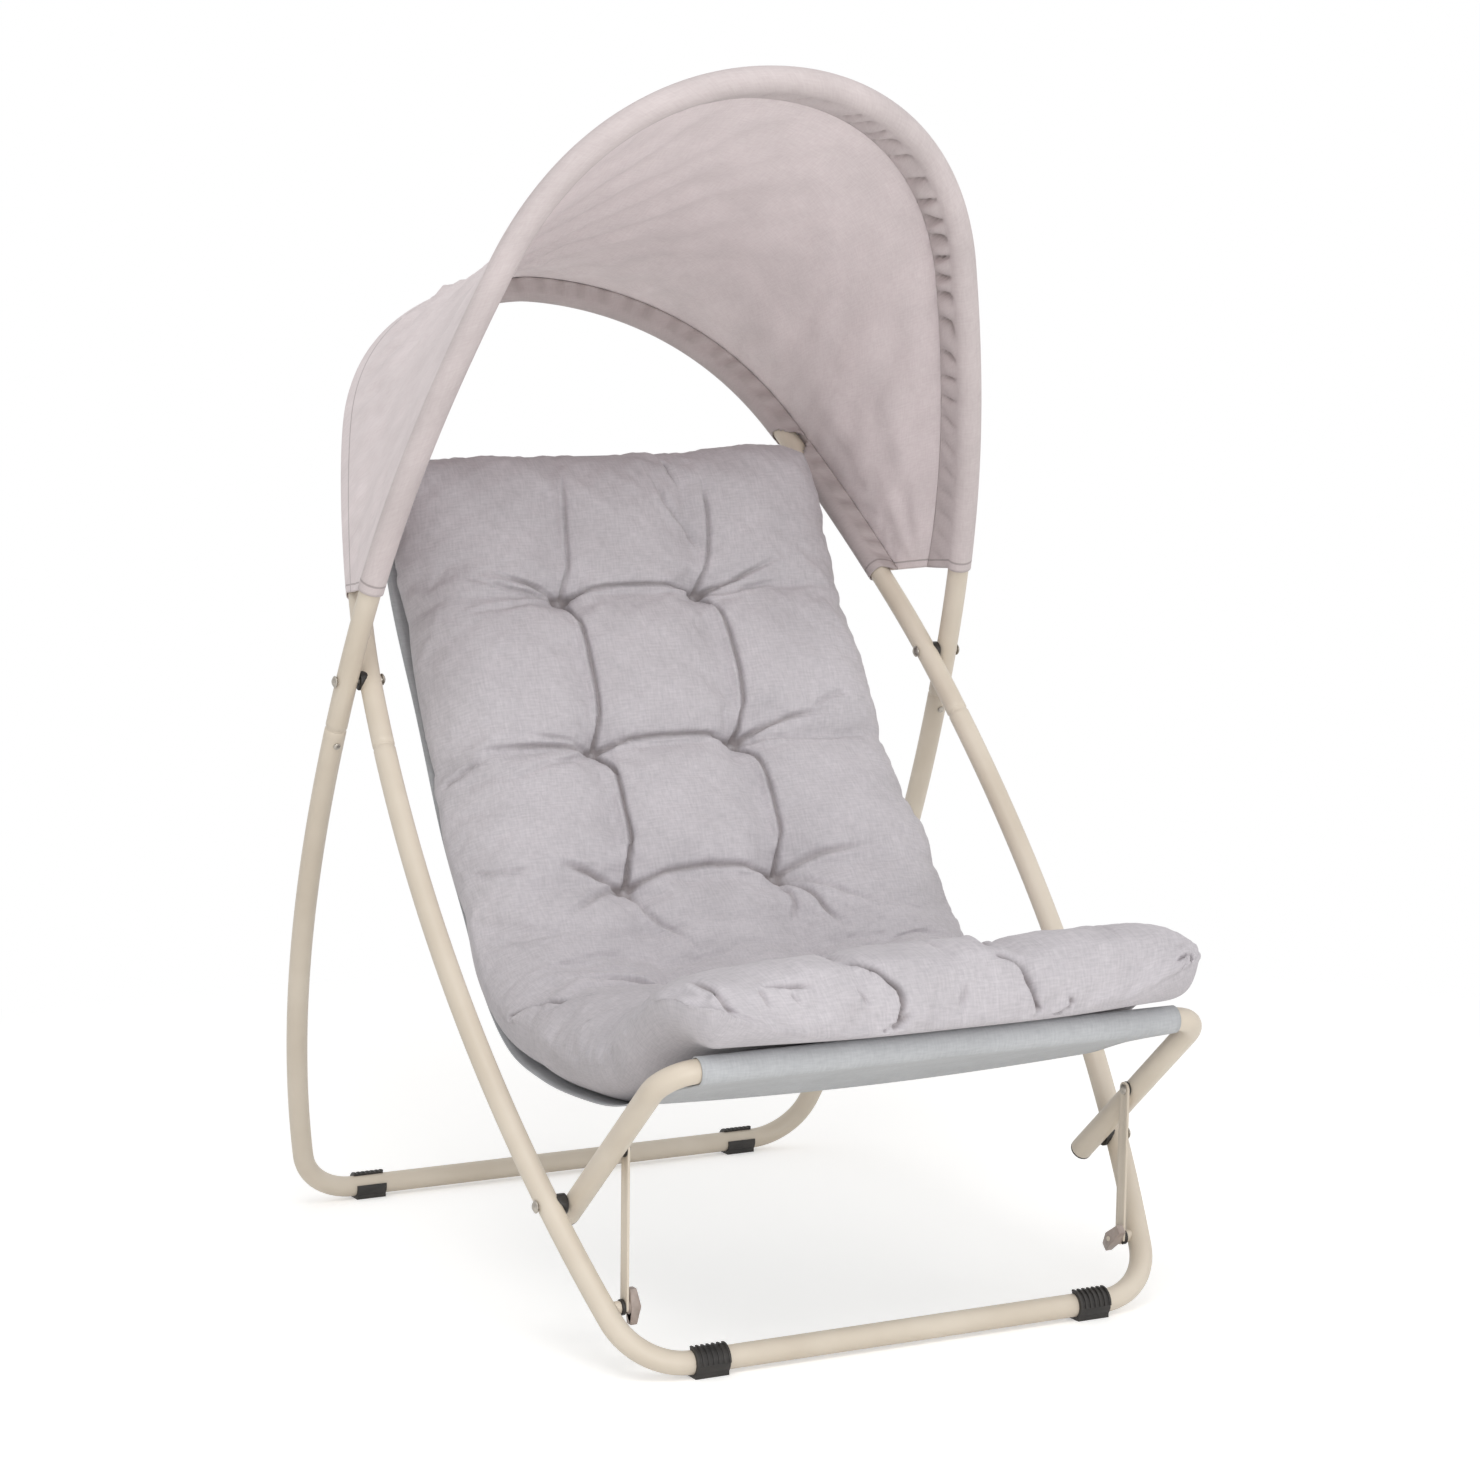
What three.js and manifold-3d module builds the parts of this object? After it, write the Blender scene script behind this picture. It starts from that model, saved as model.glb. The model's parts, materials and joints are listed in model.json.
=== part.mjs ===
// A folding sun lounger with a hooped fabric canopy, in millimetres.
// X runs across the chair, Y from the front to the back and Z up.
// The origin lies on the ground, in the middle of the chair's outline.
import * as THREE from "three";
import { mergeVertices } from "three/addons/utils/BufferGeometryUtils.js";
import Module from "manifold-3d";

const wasm = await Module();
wasm.setup();

// Tube stock and the clearances that every joint shares
const tubeRadius = 12.5;
const crossbarRadius = 8;
const seatGap = 0.3;
const overrun = 4;
const tubeSides = 12;
const weldTolerance = 1e-4;

// Side view: both folding frames cross at the main pivot
const footPadDepth = 3;
const pivotRise = 658.5;
const frontFootReach = 580.2;
const rearFootReach = 328.8;

// Front legs and the rear hoop above them, one flat bent frame
const frontFootHalf = 304.4;
const frontPivotHalf = 359.4;
const frontShoulderHalf = 278.4;
const frontShoulderRise = 377.5;
const frontCrownRise = 596;
const frontJointDrop = 95;

// Rear legs and the front hoop above them
const rearFootHalf = 335.7;
const mainPivotGap = 3.1;
const rearPivotHalf = frontPivotHalf + 2 * tubeRadius + mainPivotGap;
const rearShoulderHalf = 282.7;
const rearShoulderRise = 511.4;
const rearCrownRise = 728.4;
const rearJointDrop = 62;

// Bends that both frames share; the shares are slopes and handle lengths
const footBendRadius = 75;
const footFlareShare = 0.228;
const frontPivotTaperShare = -0.105;
const rearPivotTaperShare = -0.078;
const shoulderTaperShare = -0.33;
const legHandleShare = 1 / 3;
const frontHandleShares = { lower: 0.26, upper: 0.27, shoulder: 0.77, crown: 0.03 };
const rearHandleShares = { lower: 0.36, upper: 0.37, shoulder: 0.52, crown: 0.43 };

// Plug joints between legs and hoops
const plugBoreRadius = 11.2;
const plugLength = 40;
const jointScrewDrop = 16;
const screwHeadRadius = 4.2;
const screwHeadHeight = 2.2;
const screwShankRadius = 2;
const screwLength = 14;

// Seat frame: a bar in front with two arms that run down and back
const seatPivotUp = 196;
const seatBarAhead = 218.1;
const seatBarAbove = 171.6;
const armTail = 27;
const seatBendRadius = 38;
const armGap = 6;
const endCapDepth = 2.5;
const endPlugLength = 12;

// Rivets, spacers and bolts at the pivots
const rivetRadius = 4;
const rivetHeadRadius = 7;
const rivetHeadHeight = 3.5;
const spacerRadius = 11;

// Support struts and the studs that hold their lower ends
const strutPivotUp = 117;
const studUp = 71.3;
const strutThickness = 2.5;
const strutHalfWidth = 8;
const washerRadius = 8.5;
const washerDepth = 1.6;
const studWasherDepth = 3.6;
const bossRadius = 7;
const studRadius = 3;
const strutRivetHeadHeight = 2.6;
const rivetHeadShare = 0.7;

// Wing knobs
const knobHubRadius = 7;
const knobHubDepth = 2.4;
const knobWingHalf = 19;
const knobWingWidth = 15;
const knobTipWidth = 10;
const knobDepth = 12;
const knobTipDepth = 8;
const knobTurnDegrees = { left: 0, right: 48 };

// Foot clips
const clipWall = 2.6;
const clipLength = 38;
const clipRibCount = 7;
const clipRibHeight = 1.6;
const clipRibWidth = 2.4;
const clipMouthDegrees = 70;
const clipBaseHalf = 11;
const frontClipHalf = 227;
const rearClipHalf = 256;

// Canopy
const clothThickness = 1.1;
const sleeveClearance = 1.3;
const frontSleeveRise = 116;
const rearSleeveRise = 122;
const canopySagShare = 0.05;
const sheetCount = 3;
const sleeveTurnDegrees = 300;
const slotAbove = 44;
const slotBelow = 11;
const sleeveSegments = 7;

// Backrest crossbar and the sling between it and the seat bar
const crossbarRise = 308;
const slingHalf = 277.6;
const slingThickness = 1.4;
const slingSag = 10;
const slingHoopClearance = 3;

// Cushion
const cushionHalf = 288;
const cushionTopNarrowing = 6;
const cushionFrontSpread = 14;
const cushionDepth = 97;
const cushionEdgeDepth = 7;
const cushionEdgeLift = 31;
const cushionBendLift = 28;
const cushionFrontLift = 24;
const cushionSideDraw = 6;
const cushionClearance = 1;
const cushionOverhang = 36;
const cushionTopDrop = 8;
const cushionBarGap = 3;
const tuftColumnHalf = 93;
const tuftDepth = 42;
const tuftSpread = 38;
const cushionRound = 58;
const cushionRestShare = 0.86;
const tuftRowShares = [0.2, 0.386, 0.565, 0.79, 1];
const stepsPerCell = 5;
const frontSteps = 4;
const frontHandleShare = 0.35;
const seamCrowdShare = 0.08;
const innerColumnShares = [0.3, 0.62, 1];
const outerColumnShares = [0.11, 0.29, 0.56, 0.79, 0.94, 1];
const seamDepth = 17;

// Colours and finishes
const coatedTube = new THREE.MeshStandardMaterial({ color: "#dcd2c4", roughness: 0.45, metalness: 0.1 });
const blackPlastic = new THREE.MeshStandardMaterial({ color: "#26221f", roughness: 0.55 });
const zincSteel = new THREE.MeshStandardMaterial({ color: "#a9a39c", roughness: 0.4, metalness: 0.8 });
const knobPlastic = new THREE.MeshStandardMaterial({ color: "#9a9089", roughness: 0.5 });
const slingCloth = new THREE.MeshStandardMaterial({ color: "#a5abac", roughness: 0.9 });
const cushionCloth = new THREE.MeshStandardMaterial({ color: "#beb9bc", roughness: 0.95 });
const canopyCloth = new THREE.MeshStandardMaterial({ color: "#c8bcba", roughness: 0.9 });

// The frames' planes, seen from the side
const footAxisHeight = tubeRadius + footPadDepth;
const pivotHeight = footAxisHeight + pivotRise;
const frontAngle = Math.atan2(pivotRise, frontFootReach);
const rearAngle = Math.PI - Math.atan2(pivotRise, rearFootReach);
const frontLegLength = Math.hypot(pivotRise, frontFootReach);
const rearLegLength = Math.hypot(pivotRise, rearFootReach);

const frontFrame = {
  angle: frontAngle,
  legLength: frontLegLength,
  footHalf: frontFootHalf,
  pivotHalf: frontPivotHalf,
  pivotTaper: frontPivotTaperShare,
  shoulderHalf: frontShoulderHalf,
  shoulderRise: frontShoulderRise,
  crownRise: frontCrownRise,
  sleeveRise: rearSleeveRise,
  jointDrop: frontJointDrop,
  shares: frontHandleShares,
};
const rearFrame = {
  angle: rearAngle,
  legLength: rearLegLength,
  footHalf: rearFootHalf,
  pivotHalf: rearPivotHalf,
  pivotTaper: rearPivotTaperShare,
  shoulderHalf: rearShoulderHalf,
  shoulderRise: rearShoulderRise,
  crownRise: rearCrownRise,
  sleeveRise: frontSleeveRise,
  jointDrop: rearJointDrop,
  shares: rearHandleShares,
};

// A point of a frame's plane: x across the chair, rise along the plane from the main pivot
function onFrame(frame, x, rise) {
  return new THREE.Vector3(x, rise * Math.cos(frame.angle), pivotHeight + rise * Math.sin(frame.angle));
}

function cubic(a, b, c, d) {
  return new THREE.CubicBezierCurve(a, b, c, d);
}

function vec(x, y) {
  return new THREE.Vector2(x, y);
}

// The right half of a frame's centre line, as plane curves
function legCurves(frame) {
  const flareAngle = Math.atan(footFlareShare);
  const turn = Math.PI / 2 - flareAngle;
  const tangent = footBendRadius * Math.tan(turn / 2);
  const barEnd = vec(frame.footHalf - tangent, -frame.legLength);
  const corner = new THREE.EllipseCurve(
    barEnd.x, barEnd.y + footBendRadius, footBendRadius, footBendRadius, -Math.PI / 2, -flareAngle,
  );
  const start = corner.getPoint(1);
  const handle = -start.y * legHandleShare;
  const pivot = vec(frame.pivotHalf, 0);
  const leg = cubic(
    start,
    vec(start.x + handle * footFlareShare, start.y + handle),
    vec(pivot.x - handle * frame.pivotTaper, -handle),
    pivot,
  );
  return { barEnd, corner, leg };
}

function hoopCurves(frame) {
  const pivot = vec(frame.pivotHalf, 0);
  const shoulder = vec(frame.shoulderHalf, frame.shoulderRise);
  const low = frame.shares.lower * frame.shoulderRise;
  const high = frame.shares.upper * frame.shoulderRise;
  const side = cubic(
    pivot,
    vec(pivot.x + low * frame.pivotTaper, low),
    vec(shoulder.x - high * shoulderTaperShare, shoulder.y - high),
    shoulder,
  );
  const reach = frame.shares.shoulder * frame.shoulderHalf;
  const crown = cubic(
    shoulder,
    vec(shoulder.x + reach * shoulderTaperShare, shoulder.y + reach),
    vec(frame.shares.crown * frame.shoulderHalf, frame.crownRise),
    vec(0, frame.crownRise),
  );
  return { side, crown };
}

// The parameter at which a rising plane curve reaches a given rise
function parameterAtRise(curve, rise) {
  let low = 0;
  let high = 1;
  for (let k = 0; k < 40; k++) {
    const middle = (low + high) / 2;
    if (curve.getPoint(middle).y < rise) low = middle;
    else high = middle;
  }
  return (low + high) / 2;
}

// Half the frame's width, and how fast it grows, at a rise from the main pivot
function frameHalf(frame, rise) {
  const { leg } = legCurves(frame);
  const { side, crown } = hoopCurves(frame);
  const curve = rise < 0 ? leg : rise < frame.shoulderRise ? side : crown;
  return curve.getPoint(parameterAtRise(curve, rise)).x;
}

function frameSlope(frame, rise) {
  const step = tubeRadius;
  return (frameHalf(frame, rise + step) - frameHalf(frame, rise - step)) / (2 * step);
}

// A span of a plane curve, cut into steps; mirrored spans lie on the left
function span(curve, from, to, steps, mirrored = false) {
  const at = (t) => {
    const p = curve.getPoint(from + (to - from) * t);
    return mirrored ? vec(-p.x, p.y) : p;
  };
  return { at, steps };
}

function mirroredPath(spans) {
  const left = spans.map(({ at, steps }) => ({
    at: (t) => {
      const p = at(1 - t);
      return vec(-p.x, p.y);
    },
    steps,
  }));
  return left.reverse();
}

// A bent tube's centre line: spans of plane curves, each with its own number of steps
class BentLine extends THREE.Curve {
  constructor(spans, place) {
    super();
    this.spans = spans;
    this.place = place;
    this.steps = spans.reduce((sum, s) => sum + s.steps, 0);
  }

  locate(u) {
    let rest = u * this.steps;
    for (const s of this.spans) {
      if (rest <= s.steps || s === this.spans[this.spans.length - 1]) return { span: s, t: rest / s.steps };
      rest -= s.steps;
    }
    return { span: this.spans[0], t: 0 };
  }

  getPoint(u, target = new THREE.Vector3()) {
    const { span: s, t } = this.locate(u);
    return target.copy(this.place(s.at(t)));
  }

  getPointAt(u, target) {
    return this.getPoint(u, target);
  }

  getTangentAt(u, target = new THREE.Vector3()) {
    const { span: s, t } = this.locate(u);
    const reach = 1 / 64;
    const before = this.place(s.at(Math.max(t - reach, 0)));
    const after = this.place(s.at(Math.min(t + reach, 1)));
    return target.copy(after).sub(before).normalize();
  }
}

// Geometry helpers: solids for cuts and joins, and bodies swept or lofted from sections
function toSolid(geometry) {
  const bare = geometry.index ? geometry.toNonIndexed() : geometry.clone();
  const kept = new THREE.BufferGeometry().setAttribute("position", bare.getAttribute("position"));
  const merged = mergeVertices(kept, weldTolerance);
  return new wasm.Manifold(
    new wasm.Mesh({
      numProp: 3,
      vertProperties: merged.attributes.position.array,
      triVerts: new Uint32Array(merged.index.array),
    }),
  );
}

function toGeometry(solid) {
  const mesh = solid.getMesh();
  const geometry = new THREE.BufferGeometry();
  geometry.setAttribute("position", new THREE.BufferAttribute(mesh.vertProperties, mesh.numProp));
  geometry.setIndex(new THREE.BufferAttribute(mesh.triVerts, 1));
  const flat = geometry.toNonIndexed();
  flat.computeVertexNormals();
  return flat;
}

function subtract(geometry, ...cutters) {
  return toGeometry(cutters.reduce((solid, cutter) => solid.subtract(toSolid(cutter)), toSolid(geometry)));
}

function unite(...geometries) {
  return toGeometry(geometries.slice(1).reduce((solid, g) => solid.add(toSolid(g)), toSolid(geometries[0])));
}

function polygon(radius, sides) {
  const points = [];
  for (let k = 0; k < sides; k++) {
    const angle = ((k + 0.5) * 2 * Math.PI) / sides;
    points.push(vec(radius * Math.cos(angle), radius * Math.sin(angle)));
  }
  return new THREE.Shape(points);
}

function sweep(line, radius, sides = tubeSides) {
  return new THREE.ExtrudeGeometry(polygon(radius, sides), { steps: line.steps, extrudePath: line });
}

// A round bar from one point to another
function rod(from, to, radius, sides = tubeSides) {
  const bar = new THREE.CylinderGeometry(radius, radius, from.distanceTo(to), sides);
  const turn = new THREE.Quaternion().setFromUnitVectors(
    new THREE.Vector3(0, 1, 0), to.clone().sub(from).normalize(),
  );
  bar.applyQuaternion(turn);
  const middle = from.clone().add(to).multiplyScalar(0.5);
  return bar.translate(middle.x, middle.y, middle.z);
}

// A turned piece on the X axis: [distance along X, radius] pairs that start and end on the axis
function turned(profile, sides) {
  const lathe = new THREE.LatheGeometry(profile.map(([along, radius]) => vec(radius, along)), sides);
  return lathe.rotateZ(-Math.PI / 2);
}

function signedVolume(positions, index) {
  let sum = 0;
  const a = new THREE.Vector3();
  const b = new THREE.Vector3();
  const c = new THREE.Vector3();
  for (let k = 0; k < index.length; k += 3) {
    a.fromArray(positions, 3 * index[k]);
    b.fromArray(positions, 3 * index[k + 1]);
    c.fromArray(positions, 3 * index[k + 2]);
    sum += a.dot(b.cross(c));
  }
  return sum;
}

// A thick sheet lofted through stations; each station lists its outer points, then its inner ones backwards.
// Both layers are creased along the same diagonals, so that the sheet keeps its thickness where it twists.
function loft(stations) {
  const ring = stations[0].length;
  const half = ring / 2;
  const positions = stations.flat().flatMap((p) => [p.x, p.y, p.z]);
  const index = [];
  const quad = (a, b, c, d) => index.push(a, b, c, a, c, d);
  for (let i = 0; i + 1 < stations.length; i++) {
    for (let k = 0; k < ring; k++) {
      const next = (k + 1) % ring;
      const corners = [i * ring + k, i * ring + next, (i + 1) * ring + next, (i + 1) * ring + k];
      if (k >= half) corners.push(corners.shift());
      quad(...corners);
    }
  }
  const last = (stations.length - 1) * ring;
  for (let k = 0; k + 1 < half; k++) {
    quad(k, ring - 1 - k, ring - 2 - k, k + 1);
    quad(last + k, last + k + 1, last + ring - 2 - k, last + ring - 1 - k);
  }
  if (signedVolume(positions, index) < 0) index.reverse();
  const geometry = new THREE.BufferGeometry();
  geometry.setAttribute("position", new THREE.Float32BufferAttribute(positions, 3));
  geometry.setIndex(index);
  const flat = geometry.toNonIndexed();
  flat.computeVertexNormals();
  return flat;
}

const lounger = new THREE.Group();

function addPiece(name, geometry, material, position = null) {
  const mesh = new THREE.Mesh(geometry, material);
  mesh.name = name;
  if (position) mesh.position.copy(position);
  lounger.add(mesh);
  return mesh;
}

const sides = [
  { name: "left", sign: -1 },
  { name: "right", sign: 1 },
];

// Places that several pieces share, on the right-hand side
const frontFoot = onFrame(frontFrame, 0, -frontLegLength);
const rearFoot = onFrame(rearFrame, 0, -rearLegLength);
const seatPivotRise = seatPivotUp - frontLegLength;
const seatPivotHalf = frameHalf(frontFrame, seatPivotRise);
const seatPivot = onFrame(frontFrame, seatPivotHalf, seatPivotRise);
const armHalf = seatPivotHalf - 2 * tubeRadius - armGap;
const armAngle = Math.atan2(seatBarAbove, -seatBarAhead);
const armLength = Math.hypot(seatBarAbove, seatBarAhead);
const seatBar = new THREE.Vector3(0, seatPivot.y - seatBarAhead, seatPivot.z + seatBarAbove);
const strutPivot = new THREE.Vector3(
  armHalf, seatPivot.y + strutPivotUp * Math.cos(armAngle), seatPivot.z + strutPivotUp * Math.sin(armAngle),
);
const studRise = studUp - frontLegLength;
const studLeg = onFrame(frontFrame, frameHalf(frontFrame, studRise), studRise);
const strutOuter = armHalf - tubeRadius - washerDepth - 2 * seatGap;
const strutInner = strutOuter - strutThickness;
const crossbarHalf = frameHalf(frontFrame, crossbarRise);
const crossbar = onFrame(frontFrame, 0, crossbarRise);

// Legs: each a bent tube from one plug joint down across the foot bar and up to the other
function legLine(frame) {
  const { barEnd, corner, leg } = legCurves(frame);
  const joint = parameterAtRise(leg, -frame.jointDrop);
  const right = [span(corner, 0, 1, 8), span(leg, 0, joint, 8)];
  const bar = { at: (t) => vec(barEnd.x * (2 * t - 1), barEnd.y), steps: 1 };
  return new BentLine([...mirroredPath(right), bar, ...right], (p) => onFrame(frame, p.x, p.y));
}

// Hoops: from one plug joint over the pivot, round the crown and down to the other
function hoopLine(frame, grown = 0) {
  const { leg } = legCurves(frame);
  const { side, crown } = hoopCurves(frame);
  const joint = parameterAtRise(leg, -frame.jointDrop + grown);
  const sleeve = parameterAtRise(side, frame.sleeveRise);
  const right = [
    span(leg, joint, 1, 2), span(side, 0, sleeve, 2), span(side, sleeve, 1, 5), span(crown, 0, 1, 9),
  ];
  const left = mirroredPath(right);
  return new BentLine([...right, ...left], (p) => onFrame(frame, p.x, p.y));
}

// The straight axis of a plug joint: its place and the way up the tube
function jointAxis(frame, sign) {
  const { leg } = legCurves(frame);
  const t = parameterAtRise(leg, -frame.jointDrop);
  const at = leg.getPoint(t);
  const way = leg.getTangent(t);
  const place = onFrame(frame, sign * at.x, at.y);
  const tip = onFrame(frame, sign * (at.x + way.x), at.y + way.y);
  return { place, up: tip.sub(place).normalize() };
}

function along(place, way, distance) {
  return place.clone().addScaledVector(way, distance);
}

// The way out of a frame's plane, towards the sky on the front legs' back and the rear legs' front
function frameNormal(frame, towards) {
  return new THREE.Vector3(0, -Math.sin(frame.angle), Math.cos(frame.angle)).multiplyScalar(towards);
}

function screwAxis(frame, sign, towards) {
  const { place, up } = jointAxis(frame, sign);
  return { place: along(place, up, -jointScrewDrop), out: frameNormal(frame, towards) };
}

function screwHole(frame, sign, towards) {
  const { place, out } = screwAxis(frame, sign, towards);
  return rod(place, along(place, out, tubeRadius + overrun), screwShankRadius + seatGap);
}

function pivotHole(line, reach) {
  return rod(
    new THREE.Vector3(line.x - reach, line.y, line.z),
    new THREE.Vector3(line.x + reach, line.y, line.z),
    rivetRadius + seatGap,
  );
}

function makeLegs(name, frame, towards, extraCuts) {
  const cuts = [...extraCuts];
  for (const { sign } of sides) {
    const { place, up } = jointAxis(frame, sign);
    cuts.push(rod(along(place, up, -plugLength - seatGap), along(place, up, overrun), plugBoreRadius));
    cuts.push(screwHole(frame, sign, towards));
  }
  addPiece(name, subtract(sweep(legLine(frame), tubeRadius), ...cuts), coatedTube);
}

function makeHoop(name, frame, towards, extraCuts) {
  const parts = [sweep(hoopLine(frame, seatGap), tubeRadius)];
  const cuts = [...extraCuts];
  for (const { sign } of sides) {
    const { place, up } = jointAxis(frame, sign);
    parts.push(rod(along(place, up, -plugLength), along(place, up, overrun), plugBoreRadius - seatGap));
    cuts.push(screwHole(frame, sign, towards));
  }
  addPiece(name, subtract(unite(...parts), ...cuts), coatedTube);
}

function makeJointScrews(prefix, frame, towards) {
  const shank = screwLength - screwHeadHeight;
  const seat = tubeRadius + seatGap;
  const profile = [
    [seat - shank, 0],
    [seat - shank, screwShankRadius],
    [seat, screwShankRadius],
    [seat, screwHeadRadius],
    [seat + screwHeadHeight / 2, screwHeadRadius],
    [seat + screwHeadHeight, screwHeadRadius / 2],
    [seat + screwHeadHeight, 0],
  ];
  for (const { name, sign } of sides) {
    const { place, out } = screwAxis(frame, sign, towards);
    const screw = addPiece(`${prefix}_${name}`, turned(profile, tubeSides), zincSteel, place);
    screw.quaternion.setFromUnitVectors(new THREE.Vector3(1, 0, 0), out);
  }
}

// A domed head at the outer end of a shank along X, and a rivet with one at each end
function domedHead(seat, radius) {
  return [
    [seat, radius],
    [seat, rivetHeadRadius],
    [seat + rivetHeadHeight / 3, rivetHeadRadius],
    [seat + rivetHeadHeight, rivetHeadRadius / 2],
    [seat + rivetHeadHeight, 0],
  ];
}

function rivetProfile(inner, outer, radius) {
  const innerHead = domedHead(-inner, radius).map(([along, r]) => [-along, r]).reverse();
  return [...innerHead, ...domedHead(outer, radius)];
}

// How far a flat face sits from a tube's centre line where the tube leans across it
function flatSeat(slope, radius) {
  return tubeRadius + seatGap + radius * Math.abs(slope);
}

// A black spacer between two crossing tubes: saddled to the one it is fixed to and flat towards the other
function makeSpacer(name, saddled, flat, saddle) {
  const disc = rod(saddled, flat, spacerRadius, 20);
  const hole = pivotHole(saddled.clone().add(flat).multiplyScalar(1 / 2), Math.abs(flat.x - saddled.x));
  addPiece(name, subtract(disc, saddle, hole), blackPlastic);
}

function makeMainPivots() {
  const saddle = sweep(hoopLine(frontFrame), tubeRadius + seatGap);
  const inner = frontPivotHalf - flatSeat(frontPivotTaperShare, rivetHeadRadius);
  const outer = rearPivotHalf + flatSeat(rearPivotTaperShare, rivetHeadRadius);
  const flat = rearPivotHalf - flatSeat(rearPivotTaperShare, spacerRadius);
  const profile = rivetProfile(inner, outer, rivetRadius);
  for (const { name, sign } of sides) {
    const from = new THREE.Vector3(sign * frontPivotHalf, 0, pivotHeight);
    const to = new THREE.Vector3(sign * flat, 0, pivotHeight);
    makeSpacer(`pivot_spacer_${name}`, from, to, saddle);
    const rivet = addPiece(`pivot_rivet_${name}`, turned(profile, tubeSides), zincSteel);
    rivet.position.set(0, 0, pivotHeight);
    if (sign < 0) rivet.rotation.z = Math.PI;
  }
}

// The seat frame's own plane: x across, reach along the arms from the seat pivot
function onArm(x, reach) {
  return new THREE.Vector3(
    x, seatPivot.y + reach * Math.cos(armAngle), seatPivot.z + reach * Math.sin(armAngle),
  );
}

function seatLine() {
  const bend = new THREE.EllipseCurve(
    armHalf - seatBendRadius, armLength - seatBendRadius, seatBendRadius, seatBendRadius,
    Math.PI / 2, 0, true,
  );
  const arm = {
    at: (t) => vec(armHalf, (armLength - seatBendRadius) * (1 - t) - armTail * t),
    steps: 1,
  };
  const right = [span(bend, 0, 1, 7), arm];
  const bar = { at: (t) => vec((armHalf - seatBendRadius) * (2 * t - 1), armLength), steps: 1 };
  return new BentLine([...mirroredPath(right), bar, ...right], (p) => onArm(p.x, p.y));
}

function makeSeatFrame() {
  const cuts = [];
  for (const { sign } of sides) {
    cuts.push(pivotHole(new THREE.Vector3(sign * armHalf, seatPivot.y, seatPivot.z), tubeRadius + overrun));
    cuts.push(rod(
      new THREE.Vector3(sign * armHalf, strutPivot.y, strutPivot.z),
      new THREE.Vector3(sign * (armHalf - tubeRadius - overrun), strutPivot.y, strutPivot.z),
      studRadius + seatGap,
    ));
    cuts.push(rod(
      onArm(sign * armHalf, -armTail - overrun),
      onArm(sign * armHalf, -armTail + endPlugLength + seatGap),
      plugBoreRadius,
    ));
  }
  addPiece("seat_frame", subtract(sweep(seatLine(), tubeRadius), ...cuts), coatedTube);
}

function makeEndPlugs() {
  for (const { name, sign } of sides) {
    const stem = rod(
      onArm(sign * armHalf, -armTail - seatGap - endCapDepth / 2),
      onArm(sign * armHalf, -armTail + endPlugLength),
      plugBoreRadius - seatGap,
    );
    const cap = rod(
      onArm(sign * armHalf, -armTail - seatGap - endCapDepth),
      onArm(sign * armHalf, -armTail - seatGap),
      tubeRadius,
      20,
    );
    addPiece(`arm_plug_${name}`, unite(cap, stem), blackPlastic);
  }
}

// The seat bolt has a domed head outside the leg and ends flush with the arm's inner side
function makeSeatPivots() {
  const saddle = sweep(legLine(frontFrame), tubeRadius + seatGap);
  const inner = armHalf - tubeRadius + seatGap;
  const outer = seatPivotHalf + flatSeat(frameSlope(frontFrame, seatPivotRise), rivetHeadRadius);
  const profile = [[inner, 0], [inner, rivetRadius], ...domedHead(outer, rivetRadius)];
  for (const { name, sign } of sides) {
    const from = new THREE.Vector3(sign * seatPivotHalf, seatPivot.y, seatPivot.z);
    const to = new THREE.Vector3(sign * (armHalf + tubeRadius + seatGap), seatPivot.y, seatPivot.z);
    makeSpacer(`seat_pivot_spacer_${name}`, from, to, saddle);
    const bolt = addPiece(`seat_pivot_bolt_${name}`, turned(profile, tubeSides), zincSteel);
    bolt.position.set(0, seatPivot.y, seatPivot.z);
    if (sign < 0) bolt.rotation.z = Math.PI;
  }
}

function washerRing(depth) {
  const shape = polygon(washerRadius, 16);
  shape.holes.push(polygon(studRadius + seatGap, tubeSides));
  const ring = new THREE.ExtrudeGeometry(shape, { depth, bevelEnabled: false });
  return ring.rotateY(Math.PI / 2);
}

// A support strut hangs on its rivet; the notch in its foot slips off the stud when the seat is folded
function strutShape() {
  const foot = vec(studLeg.y - strutPivot.y, studLeg.z - strutPivot.z);
  const lean = Math.atan2(foot.y, foot.x);
  const shape = new THREE.Shape();
  shape.absarc(0, 0, strutHalfWidth, lean + Math.PI / 2, lean + (3 * Math.PI) / 2, false);
  shape.absarc(foot.x, foot.y, strutHalfWidth, lean - Math.PI / 2, lean + Math.PI / 2, false);
  const eye = new THREE.Path();
  eye.absarc(0, 0, studRadius + seatGap, 0, 2 * Math.PI, true);
  shape.holes.push(eye);
  return { shape, foot };
}

// The way in which the strut's foot first leaves the stud as the seat frame folds up
function notchWay() {
  return new THREE.Vector3(0, -Math.sin(armAngle), Math.cos(armAngle));
}

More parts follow.
